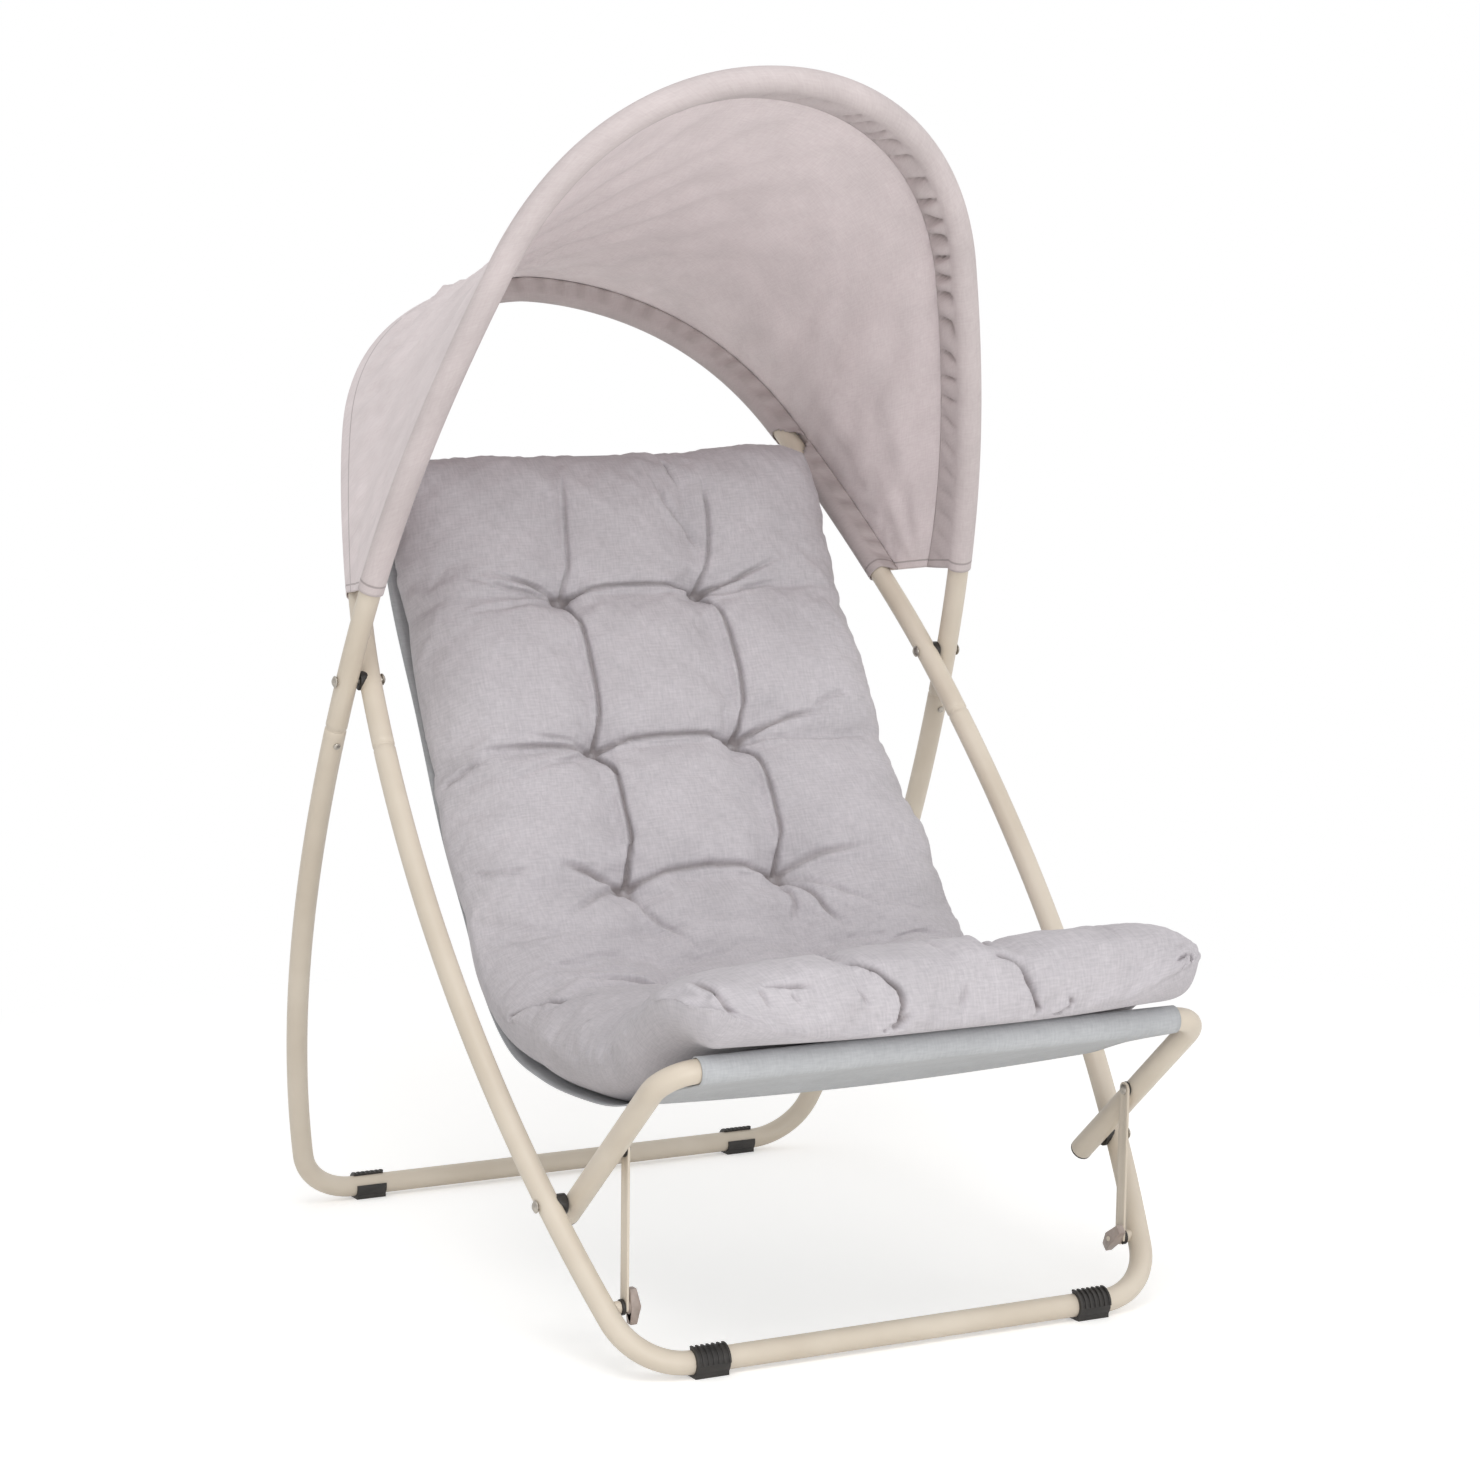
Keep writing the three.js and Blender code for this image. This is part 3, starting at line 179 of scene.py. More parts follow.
# %% [markdown]
# **Powder-coated steel.** Powder is sprayed on dry and melts into a satin skin that is
# never quite flat: a faint orange peel, a few millimetres across, breaks up the
# highlight. Its colour is a warm sand.

# %% Powder-coated steel
coat = hard_finish(
    "powder_coated_steel_satin", (9.0, 3.0), ("#CFC3B2", "#D9CEBE"), (0.38, 0.47),
    grain=420.0, relief=(0.12, 0.6 * MM), IOR=1.5,
)

# %% [markdown]
# **Moulded black plastic.** The clips, spacers, washers and plugs are polyamide from a
# spark-eroded mould, which leaves a fine, even grain and a dull shine.

# %% Moulded black plastic
black = hard_finish(
    "moulded_polyamide_black", (60.0, 2.0), ("#1F1C1A", "#2C2825"), (0.42, 0.58),
    grain=1400.0, relief=(0.2, 0.3 * MM), grain_dulls=True, IOR=1.53,
)

# %% [markdown]
# **Zinc-plated steel.** Rivets, bolts and screws are plated, not polished, so the metal is
# grey and cloudy rather than bright.

# %% Zinc-plated steel
zinc = hard_finish("zinc_plated_steel", (240.0, 3.0), ("#9C968E", "#BAB4AB"), (0.32, 0.5), Metallic=1.0)

# %% [markdown]
# **Moulded grey-brown plastic.** The wing knobs are a softer, satin polypropylene.

# %% Moulded grey-brown plastic
knob_grey = hard_finish(
    "moulded_polypropylene_taupe", (90.0, 2.0), ("#9B8D85", "#AB9D95"), (0.4, 0.52), IOR=1.49,
)

# %% [markdown]
# ** Woven cloth.** All three cloths are plain weaves: threads pass over and under each
# other in two directions. Two sets of bands, one along and one across, give the
# threads' rounded backs. The real threads are about half a millimetre apart, too fine to
# show from three metres, so they are drawn somewhat coarser. The pattern follows the
# piece's own UV map, which is laid out in metres of flat cloth, so it bends with the
# cloth. Slubs, the thicker stretches of a spun thread, are noise drawn out along each
# direction. Beyond a distance on one of the maps a tint multiplies the colour. This is
# painted shade where the tube or a second layer lies under the cloth and less light
# comes through it. The map named creases says how deep a place lies in a fold, and there
# the cloth is painted a little darker, as painted shade. A line of stitches is darker
# too, partly the thread's own colour and partly painted shade in the sunk stitches.

# %% Lines of stitches
STITCH_WIDTH = 1.6 * MM


def stitch_lines(tree, lines):
    """1 on each line of stitches and 0 beside it. A line is a map, an axis and a distance in metres."""
    total = 0.0
    for map_name, axis, distance in lines:
        flat = add_node(tree, "UVMap", {"uv_map": map_name})
        part = add_node(tree, "SeparateXYZ", out=axis, _0=flat)
        off = add_node(tree, "Math", {"operation": "SUBTRACT"}, _0=part, _1=distance)
        off = add_node(tree, "Math", {"operation": "ABSOLUTE"}, _0=off)
        mask = add_node(tree, "MapRange", Value=off, _1=STITCH_WIDTH / 2, _2=STITCH_WIDTH, _3=1, _4=0)
        total = add_node(tree, "Math", {"operation": "MAXIMUM"}, _0=total, _1=mask)
    return total


# %% Woven cloth
def weave(tree, flat, spacing):
    """The threads' rounded backs where they cross, and the thicker stretches along them."""
    threads, slubs = [], []
    for direction, stretch in (("X", (1, 0.16, 1)), ("Y", (0.16, 1, 1))):
        # A band texture repeats every 2 pi / 20 of its scaled coordinate.
        threads.append(add_node(
            tree, "TexWave", {"bands_direction": direction}, 1, Vector=flat,
            Scale=2 * math.pi / (20 * spacing), Distortion=0.6, Detail=1.0, Detail_Scale=2.0,
        ))
        drawn = add_node(tree, "VectorMath", {"operation": "MULTIPLY"}, _0=flat, _1=stretch)
        slubs.append(add_node(tree, "TexNoise", Vector=drawn, Scale=1 / SLUB, Detail=3.0))
    crossing = add_node(tree, "Math", {"operation": "MULTIPLY"}, _0=threads[0], _1=threads[1])
    return crossing, add_node(tree, "Math", {"operation": "ADD"}, _0=slubs[0], _1=slubs[1])


def woven(
    name, dark, light, bump_height, roughness, sheen, spacing=1.5 * MM, lines=(), painted_shades=(), crease_shaded=False,
):
    material, tree, skin = new_material(name)
    flat = add_node(tree, "TexCoord", out="UV")
    crossing, slubby = weave(tree, flat, spacing)
    fine = add_node(tree, "MapRange", Value=slubby, _1=1 - MOTTLE, _2=1 + MOTTLE)
    tone = add_node(tree, "Mix", {"data_type": "RGBA"}, 2, _0=fine, _6=linear(dark), _7=linear(light))
    cloudy = add_node(tree, "TexNoise", Vector=flat, Scale=14.0, Detail=4.0)
    shade = add_node(tree, "MapRange", Value=cloudy, _1=0.3, _2=0.7, _3=0.93, _4=1.05)
    colour = add_node(tree, "VectorMath", {"operation": "SCALE"}, _0=tone, Scale=shade)
    relief = add_node(tree, "Math", {"operation": "ADD"}, _0=crossing, _1=slubby)
    # Painted shade: the creases map darkens the cloth where it lies deep in a fold.
    creases = (("creases", 0, 1, CREASE_SHADE),) if crease_shaded else ()
    for map_name, low, high, tint in (*painted_shades, *creases):
        place = add_node(tree, "UVMap", {"uv_map": map_name})
        part = add_node(tree, "SeparateXYZ", _0=place)
        share = add_node(tree, "MapRange", Value=part, _1=low, _2=high)
        colour = add_node(
            tree, "Mix", {"data_type": "RGBA", "blend_type": "MULTIPLY"}, 2,
            _0=share, _6=colour, _7=linear(tint),
        )
    if lines:
        mask = stitch_lines(tree, lines)
        # The stitches are darker: partly the thread's own colour, partly painted shade in the sunk stitches.
        dim = add_node(tree, "MapRange", Value=mask, _1=0, _2=1, _3=0, _4=0.45)
        colour = add_node(tree, "Mix", {"data_type": "RGBA"}, 2, _0=dim, _6=colour, _7=linear(STITCH_THREAD_AND_SHADE))
        sunk = add_node(tree, "Math", {"operation": "MULTIPLY"}, _0=mask, _1=-3.0)
        relief = add_node(tree, "Math", {"operation": "ADD"}, _0=relief, _1=sunk)
    bump = add_node(tree, "Bump", Strength=0.5, Distance=bump_height, Height=relief)
    connect(
        tree, skin, Base_Color=colour, Normal=bump, Roughness=roughness,
        Sheen_Weight=sheen, Sheen_Roughness=0.5, Specular_IOR_Level=0.25,
    )
    print(name)
    return material


# %% The three cloths
SLUB, MOTTLE = 2.2 * MM, 0.3
# The colour of painted shade in the creases, and the stitches' colour, which is partly the thread and partly
# painted shade.
CREASE_SHADE, STITCH_THREAD_AND_SHADE = "#CBC6C3", "#6E6462"

linen_grey = woven(
    "woven_polyester_linen_look_grey", "#B6B2B6", "#C8C3C7", 0.22 * MM, 0.92, 0.15, crease_shaded=True,
)
sling_grey = woven("woven_polyester_sling_grey", "#B4B6B9", "#C2C4C6", 0.2 * MM, 0.8, 0.1)
canopy_sand = woven(
    "woven_polyester_canopy_sand", "#E2D6D7", "#ECE2E2", 0.2 * MM, 0.82, 0.1, spacing=1.4 * MM,
    lines=(
        ("UVMap", 0, 0.055), ("UVMap", 1, 0.011), ("from_far_edges", 0, 0.018), ("from_far_edges", 1, 0.011),
    ),
    # Painted sheen and shade: the front pocket is tinted greyer and a little darker, and the rear hem's
    # doubled cloth is tinted darker.
    painted_shades=(("UVMap", 0.0, -0.006, "#E3E2E1"), ("from_far_edges", -0.022, -0.04, "#CFCDCC")), crease_shaded=True,
)
finish_of_slot = {
    "coated_tube": coat, "black_plastic": black, "zinc_steel": zinc, "knob_plastic": knob_grey,
    "sling_fabric": sling_grey, "cushion_fabric": linen_grey, "canopy_fabric": canopy_sand,
}
print("finishes:", len(finish_of_slot))

# %% [markdown]
# ## The tubes' centre lines
# Each folding frame is flat: a pair of legs with a foot bar below the pivot, and a hoop
# above it. A point of such a plane is x across and a rise along the plane from the pivot.
# The bends are cubic curves between a few measured places, as on the solids.

# %% The two frames' sizes, in millimetres
FRONT = {
    "angle": math.atan2(658.5, 580.2), "leg": math.hypot(658.5, 580.2), "foot": 304.4,
    "pivot": 359.4, "taper": -0.105, "shoulder": (278.4, 377.5), "crown": 596, "joint": 95,
    "shares": (0.26, 0.27, 0.77, 0.03), "sleeve": 122,
}
REAR = {
    "angle": math.pi - math.atan2(658.5, 328.8), "leg": math.hypot(658.5, 328.8), "foot": 335.7,
    "pivot": 387.5, "taper": -0.078, "shoulder": (282.7, 511.4), "crown": 728.4, "joint": 62,
    "shares": (0.36, 0.37, 0.52, 0.43), "sleeve": 116,
}
FOOT_BEND, FOOT_FLARE, SHOULDER_TAPER = 75, 0.228, -0.33
TUBE = 12.5


def on_plane(shape, flat):
    """Points (x, rise) of a frame's plane, in millimetres, as places in metres."""
    flat = np.asarray(flat, float)
    return np.stack([
        flat[:, 0] * MM,
        pivot.y + flat[:, 1] * MM * math.cos(shape["angle"]),
        pivot.z + flat[:, 1] * MM * math.sin(shape["angle"]),
    ], axis=1)


def cubic(a, b, c, d, count=240):
    t = np.linspace(0, 1, count)[:, None]
    a, b, c, d = (np.array(p, float) for p in (a, b, c, d))
    return a * (1 - t) ** 3 + 3 * b * t * (1 - t) ** 2 + 3 * c * t ** 2 * (1 - t) + d * t ** 3


def arc(centre, radius, start, turned, count):
    angles = start + np.linspace(0, turned, count)
    return centre + radius * np.stack([np.cos(angles), np.sin(angles)], axis=1)


def leg_side(shape):
    """The right-hand leg from the foot bar's end up to the pivot, foot bend first."""
    flare = math.atan(FOOT_FLARE)
    turned = math.pi / 2 - flare
    centre = shape["foot"] - FOOT_BEND * math.tan(turned / 2), FOOT_BEND - shape["leg"]
    bend = arc(centre, FOOT_BEND, -math.pi / 2, turned, 60)
    start = bend[-1]
    handle = -start[1] / 3
    leg = cubic(
        start, (start[0] + handle * FOOT_FLARE, start[1] + handle),
        (shape["pivot"] - handle * shape["taper"], -handle), (shape["pivot"], 0),
    )
    return bend, leg


def hoop_side(shape):
    """The right-hand side of a hoop from the pivot up to the middle of its crown."""
    (sx, sy), (low, high, reach, flat) = shape["shoulder"], shape["shares"]
    low, high, reach = low * sy, high * sy, reach * sx
    side = cubic(
        (shape["pivot"], 0), (shape["pivot"] + low * shape["taper"], low),
        (sx - high * SHOULDER_TAPER, sy - high), (sx, sy),
    )
    crown = cubic(
        (sx, sy), (sx + reach * SHOULDER_TAPER, sy + reach), (flat * sx, shape["crown"]), (0, shape["crown"]),
    )
    return np.concatenate([side, crown[1:]])


def smoothstep(x, low, high):
    t = np.clip((x - low) / (high - low), 0, 1)
    return t * t * (3 - 2 * t)


def hump(x, centre, width):
    """1 at the centre, falling to a third one width away."""
    return np.exp(-((x - centre) / width) ** 2)


def step_lengths(points):
    return np.linalg.norm(np.diff(points, axis=0), axis=1)


def running_sum(steps):
    return np.concatenate([[0], np.cumsum(steps)])


def unit(ways):
    return ways / np.linalg.norm(ways, axis=1)[:, None]


def points_at(where, reach, points):
    """Places on a line, whose reach says how far along it each of its points lies."""
    return np.stack([np.interp(where, reach, column) for column in points.T], axis=-1)


def even(points, spacing):
    """The same line with its points an even distance apart."""
    steps = step_lengths(points)
    keep = np.concatenate([[True], steps > 1e-9])
    points, reach = points[keep], running_sum(steps[steps > 1e-9])
    count = max(2, round(reach[-1] / spacing) + 1)
    return points_at(np.linspace(0, reach[-1], count), reach, points)


def both_sides(side):
    """A right-hand side with its mirror image before it, as one line from left to right."""
    return np.concatenate([side[::-1] * (-1, 1), side])


def leg_line(shape):
    bend, leg = leg_side(shape)
    leg = leg[leg[:, 1] <= -shape["joint"]]
    return both_sides(np.concatenate([bend, leg[1:]]))


JOINT_GAP = 0.9


def hoop_line(shape):
    leg = leg_side(shape)[1]
    start = leg[leg[:, 1] >= -shape["joint"] + JOINT_GAP]
    side = np.concatenate([start, hoop_side(shape)[1:]])
    return np.concatenate([side, side[::-1][1:] * (-1, 1)])


for label, shape in (("front", FRONT), ("rear", REAR)):
    print(label, "legs and foot bar:", round(step_lengths(leg_line(shape)).sum()), "mm of tube")

# %% [markdown]
# ## Bent tubes
# A bent tube is a round section drawn along a line, which is what a curve with a round
# bevel does. The curve becomes a mesh at once. At a plug joint the two ends are rolled
# in slightly, so each line's last points are drawn a little thinner, and the seam shows
# as the fine dark ring that it is on the real frame.

# %% Helpers for pieces


def put(name, mesh, slot, body, *nodes):
    """Makes a mesh a piece: its finish, the body it moves with, and the solids it stands for."""
    piece = new_object(name, mesh)
    if not mesh.materials:
        mesh.materials.append(finish_of_slot[slot])
    if body:
        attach(piece, body)
    if nodes:
        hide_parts(*nodes)
    return piece


def shade_smooth(mesh, degrees=40):
    mesh.polygons.foreach_set("use_smooth", [True] * len(mesh.polygons))
    mesh.set_sharp_from_angle(angle=math.radians(degrees))
    mesh.update()


def evaluated(piece):
    """A new mesh of a curve, or of a mesh with its modifiers."""
    graph = bpy.context.evaluated_depsgraph_get()
    return bpy.data.meshes.new_from_object(piece.evaluated_get(graph))


def to_mesh(shape, name):
    """Ends a bmesh and gives its mesh."""
    mesh = bpy.data.meshes.new(name)
    shape.to_mesh(mesh)
    shape.free()
    return mesh


TUBE_ROUNDNESS = 10


def tube_mesh(name, points, radius, rolled=0.93):
    curve = bpy.data.curves.new(name, "CURVE")
    curve.dimensions = "3D"
    curve.bevel_depth = radius
    curve.bevel_resolution = TUBE_ROUNDNESS
    curve.use_fill_caps = True
    spline = curve.splines.new("POLY")
    spline.points.add(len(points) - 1)
    for knot, place in zip(spline.points, points):
        knot.co = (*place, 1)
    spline.points[0].radius = spline.points[-1].radius = rolled
    holder = new_object(name, curve)
    bpy.context.view_layer.update()
    mesh = evaluated(holder)
    bpy.data.objects.remove(holder)
    bpy.data.curves.remove(curve)
    shade_smooth(mesh)
    mesh.name = name
    return mesh


def with_ends(points, lip):
    """Adds a point just inside each end, so that only the last millimetre is rolled in."""
    ways = unit(np.stack([points[1] - points[0], points[-2] - points[-1]]))
    first, last = points[0] + ways[0] * lip, points[-1] + ways[1] * lip
    return np.concatenate([points[:1], [first], points[1:-1], [last], points[-1:]])


# %% The four bent tubes and the plugs in their joints
LIP = 1.2
for node, shape, line in (
    ("front_leg_frame", FRONT, leg_line(FRONT)), ("rear_hoop", FRONT, hoop_line(FRONT)),
    ("rear_leg_frame", REAR, leg_line(REAR)), ("front_hoop", REAR, hoop_line(REAR)),
):
    name, points = f"{node}_tube", with_ends(on_plane(shape, even(line, 7)), LIP * MM)
    put(name, tube_mesh(name, points, TUBE * MM), "coated_tube", body_of_node[node], node)
for label, shape, body in (("front", FRONT, "front_frame"), ("rear", REAR, "rear_frame")):
    leg = leg_side(shape)[1]
    near = leg[np.abs(leg[:, 1] + shape["joint"]) < 6]
    for side, sign in (("left", -1), ("right", 1)):
        name, line = f"{label}_joint_plug_{side}", on_plane(shape, near * (sign, 1))
        put(name, tube_mesh(name, line, (TUBE - JOINT_GAP) * MM), "coated_tube", body)
print("bent tubes made")

# %% [markdown]
# The seat frame is a third bent tube: a bar in front, and two arms that run down and
# back past the seat pivots. The crossbar of the backrest is a straight, thinner tube
# between the hoop's sides.

# %% Seat frame and crossbar
seat_pivot = middle_of("seat_pivot_bolt_right")
seat_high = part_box("seat_frame")[1]
ARM_HALF = (seat_high.x - TUBE * MM) / MM
BAR_AHEAD, BAR_ABOVE, ARM_TAIL, SEAT_BEND = 218.1, 171.6, 27, 38
arm_way = np.array([-BAR_AHEAD, BAR_ABOVE]) / math.hypot(BAR_AHEAD, BAR_ABOVE)
arm_length = math.hypot(BAR_AHEAD, BAR_ABOVE)
bend = arc((ARM_HALF - SEAT_BEND, arm_length - SEAT_BEND), SEAT_BEND, math.pi / 2, -math.pi / 2, 16)
side = np.concatenate([bend, [[ARM_HALF, -ARM_TAIL]]])
flat = even(both_sides(side), 6)
points = np.stack([
    flat[:, 0] * MM, seat_pivot.y + flat[:, 1] * arm_way[0] * MM, seat_pivot.z + flat[:, 1] * arm_way[1] * MM,
], axis=1)
mesh = tube_mesh("seat_frame_tube", points, TUBE * MM, rolled=1)
put("seat_frame_tube", mesh, "coated_tube", "seat_frame", "seat_frame")
seat_bar = np.array([seat_pivot.y - BAR_AHEAD * MM, seat_pivot.z + BAR_ABOVE * MM])

bar_low, bar_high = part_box("backrest_crossbar")
crossbar = np.array([(bar_low.y + bar_high.y) / 2, (bar_low.z + bar_high.z) / 2])
BAR_RADIUS = (bar_high.z - bar_low.z) / 2
ends = [(x, *crossbar) for x in np.linspace(bar_low.x + 2 * MM, bar_high.x - 2 * MM, 40)]
mesh = tube_mesh("backrest_crossbar_tube", ends, BAR_RADIUS, rolled=1)
put("backrest_crossbar_tube", mesh, "coated_tube", "front_frame", "backrest_crossbar")
print("seat bar at", seat_bar.round(3), "crossbar at", crossbar.round(3))

# %% [markdown]
# ## Small fittings
# Clips, spacers, washers, plugs, struts, knobs and fasteners have the right shape on the
# solids, but their edges are knife sharp. Real mouldings and pressings have small
# radii that catch the light. So each gets a copy whose loose triangles are merged, whose
# flat faces are made whole again, and whose edges are bevelled.

# %% Softened copies of the small fittings
EDGE_RADIUS = {
    "foot": 0.35, "spacer": 0.8, "washer": 0.35, "plug": 0.7, "strut_left": 0.35, "strut_right": 0.35,
    "knob": 1.3, "rivet": 0.5, "bolt": 0.5, "screw": 0.4, "stud": 0.4,
}


def softened(node, radius):
    shape = bmesh.new()
    shape.from_mesh(frame["nodes"][node].data)
    bmesh.ops.remove_doubles(shape, verts=shape.verts, dist=1e-6)
    bmesh.ops.dissolve_limit(shape, angle_limit=math.radians(1), verts=shape.verts, edges=shape.edges)
    sharp = [e for e in shape.edges if len(e.link_faces) == 2 and e.calc_face_angle(0) > math.radians(38)]
    bmesh.ops.bevel(
        shape, geom=sharp, offset=radius, offset_type="OFFSET", segments=2, profile=0.5,
        affect="EDGES", material=-1, clamp_overlap=True,
    )
    mesh = to_mesh(shape, f"{node}_soft")
    shade_smooth(mesh, 50)
    return mesh


done = 0
for node in frame["nodes"]:
    radius = next((r for key, r in EDGE_RADIUS.items() if key in node), None)
    if radius:
        put(f"{node}_soft", softened(node, radius * MM), slot_of_node[node], body_of_node[node], node)
        done += 1
print("softened fittings:", done)

# %% [markdown]
# ## The sling
# One width of cloth hangs between the crossbar and the seat bar and is sewn round
# both. Its side line falls from the crossbar, runs almost level under the seat, and
# climbs to the bar in front. A smooth curve through a few measured places gives
# that line, and a grid is laid along it.

# %% A smooth line through measured places


def smooth_line(places, steps=40):
    """A centripetal Catmull-Rom curve, which passes every place without overshooting."""
    p = np.asarray(places, float)
    p = np.concatenate([[2 * p[0] - p[1]], p, [2 * p[-1] - p[-2]]])
    out = []
    for a, b, c, d in zip(p, p[1:], p[2:], p[3:]):
        k1, k2, k3 = (max(np.linalg.norm(v) ** 0.5, 1e-9) for v in (b - a, c - b, d - c))
        m1 = k2 * ((b - a) / k1 - (c - a) / (k1 + k2) + (c - b) / k2)
        m2 = k2 * ((c - b) / k2 - (d - b) / (k2 + k3) + (d - c) / k3)
        t = np.linspace(0, 1, steps, endpoint=False)[:, None]
        out.append(
            (2 * t ** 3 - 3 * t ** 2 + 1) * b + (t ** 3 - 2 * t ** 2 + t) * m1
            + (3 * t ** 2 - 2 * t ** 3) * c + (t ** 3 - t ** 2) * m2
        )
    return np.concatenate([*out, [p[-2]]])


SLING_SHARES = [
    (0.929, 0.735), (0.842, 0.499), (0.761, 0.268), (0.69, 0.12), (0.629, -0.016),
    (0.549, -0.104), (0.445, -0.134), (0.331, -0.137), (0.216, -0.121), (0.102, -0.067),
]
SLEEVE_SLACK, SLING_THICK, SLING_SAG, SAG_REACH = 0.8, 1.4, 10, 0.69
span = crossbar - seat_bar
hung = [seat_bar + np.array(share) * span for share in SLING_SHARES]


def leaving(centre, following, radius):
    """Where cloth leaves a bar, square to the way in which it runs on."""
    way = centre - following
    angle = math.atan2(way[1], way[0]) + math.pi / 2
    return angle, centre + radius * np.array([math.cos(angle), math.sin(angle)])


top_radius = BAR_RADIUS + (SLEEVE_SLACK + SLING_THICK / 2) * MM
bar_radius = (TUBE + SLEEVE_SLACK + SLING_THICK / 2) * MM
top_angle, top_leave = leaving(crossbar, hung[0], top_radius)
bar_angle, bar_leave = leaving(seat_bar, hung[-1], bar_radius)
sling_line = even(smooth_line([top_leave, *hung, bar_leave]), 8 * MM)
sling_length = step_lengths(sling_line).sum()
print("sling between the bars:", round(sling_length, 3), "m")

# %% Grids


def running(places, axis):
    """Metres along the rows or columns of a grid of places, measured on its middle line."""
    steps = np.linalg.norm(np.diff(places, axis=axis), axis=2)
    middle = steps[:, steps.shape[1] // 2] if axis == 0 else steps[steps.shape[0] // 2]
    return running_sum(middle)


def grid_mesh(name, places, holes=None, **maps):
    """A mesh of rows and columns of places. Each map gives (u, v) in metres for every place.
    Holes is true for each cell of the grid that is cut away."""
    rows, columns = places.shape[:2]
    if not maps:
        along, across = running(places, 0), running(places, 1)
        maps = {"UVMap": np.stack(np.broadcast_arrays(across[None, :], along[:, None]), axis=2)}
    grid = bmesh.new()
    bmesh.ops.create_grid(grid, x_segments=columns - 1, y_segments=rows - 1, size=0.5)
    layers = {key: grid.loops.layers.uv.new(key) for key in maps}
    if holes is not None:
        centres = {f: f.calc_center_median() for f in grid.faces}
        cut = [
            f for f, c in centres.items()
            if holes[int((c.y + 0.5) * (rows - 1)), int((c.x + 0.5) * (columns - 1))]
        ]
        bmesh.ops.delete(grid, geom=cut, context="FACES")
    for vertex in grid.verts:
        i = round((vertex.co.y + 0.5) * (rows - 1))
        k = round((vertex.co.x + 0.5) * (columns - 1))
        for loop in vertex.link_loops:
            for key, layer in layers.items():
                loop[layer].uv = maps[key][i, k]
        vertex.co = places[i, k]
    mesh = to_mesh(grid, name)
    mesh.polygons.foreach_set("use_smooth", [True] * len(mesh.polygons))
    return mesh


def thicken(piece, millimetres):
    wall = piece.modifiers.new("thickness", "SOLIDIFY")
    wall.thickness, wall.offset = millimetres * MM, 0


def sagging(place, across):
    """How far the cloth hangs below its side line: only over the seat, and most in the middle."""
    seat = np.clip((place[..., 0] - seat_bar[0] - 2 * TUBE * MM) / (SAG_REACH * span[0]), 0, 1)
    return SLING_SAG * MM * np.sin(math.pi * seat) * (1 - across ** 2)


# %% The sling's cloth
SEAM_TURN = math.radians(-300)
top_sleeve = arc(crossbar, top_radius, top_angle, SEAM_TURN, 22)[::-1]
bar_sleeve = arc(seat_bar, bar_radius, bar_angle, SEAM_TURN, 26)
profile = np.concatenate([top_sleeve[:-1], sling_line, bar_sleeve[1:]])
sling_low, sling_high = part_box("sling")
SLING_HALF = 277.6 * MM
across = np.linspace(-1, 1, 61)
top_half = min(abs(sling_low.x), sling_high.x) - 1 * MM
share_up = np.clip((profile[:, 1] - seat_bar[1]) / span[1], 0, 1)
half = SLING_HALF + (top_half - SLING_HALF) * share_up
places = np.stack([
    half[:, None] * across[None, :],
    np.repeat(profile[:, 0][:, None], len(across), axis=1),
    profile[:, 1][:, None] - sagging(profile[:, None], across[None, :]),
], axis=2)
mesh = grid_mesh("sling_cloth", places)
sling = put("sling_cloth", mesh, "sling_fabric", None, "sling")
thicken(sling, SLING_THICK)
print("sling rows and columns:", places.shape[:2])

# %% [markdown]
# ## The cushion
# A long, loosely filled cushion lies in the sling from the crossbar to just over the seat
# bar. It is three columns wide. Buttons pull it down in five rows, and the cloth
# between them creases, so every cell swells like a small pillow. The upper and lower
# covers meet in a seam all round. The seam lifts off the sling in the bend of the seat
# and in front, where the end of the cushion stands over the bar as a low roll.

# %% The line that the cushion lies on, with its sizes in millimetres
CUSHION = {
    # Half its width, how much narrower it is at the top, and wider in the bend and in front
    "half": 288, "narrow": 15, "spread": 14,
    # Its thickness, its seam's height off the sling, and what the bend and the front add to that
    "depth": 97, "lift": 31, "bend_lift": 28, "front_lift": 24,
    # How far its rim draws in at a row of buttons, and its gaps to the sling and to the bar
    "draw": 6, "gap": 1.0, "bar_gap": 3,
    # How far below the crossbar it starts, and how far it reaches past the bar and droops there
    "drop": 8, "hang": 38, "droop": 5,
    # The radius of its edge, and how far its top corners stand up
    "round": 58, "corner": 9,
    # In front: how much of the seam's height is left in the middle, the corners' rounding, and
    # how much thinner the roll is everywhere and at its left end
    "front_rim": 0.25, "front_corner": 26, "front_low": 15, "left_low": 9,
}
# The buttons' places across, and their rows as shares of the part that lies on the sling
TUFT_COLUMNS, TUFT_ROWS, REST_SHARE = (-105, 78), (0.1885, 0.3677, 0.5376, 0.77, 1.0), 0.86


def line_at(points, shares):
    steps = step_lengths(points)
    return points_at(shares, running_sum(steps) / steps.sum(), points)


def normals_of(points):
    way = unit(np.gradient(points, axis=0))
    return np.stack([way[:, 1], -way[:, 0]], axis=1)


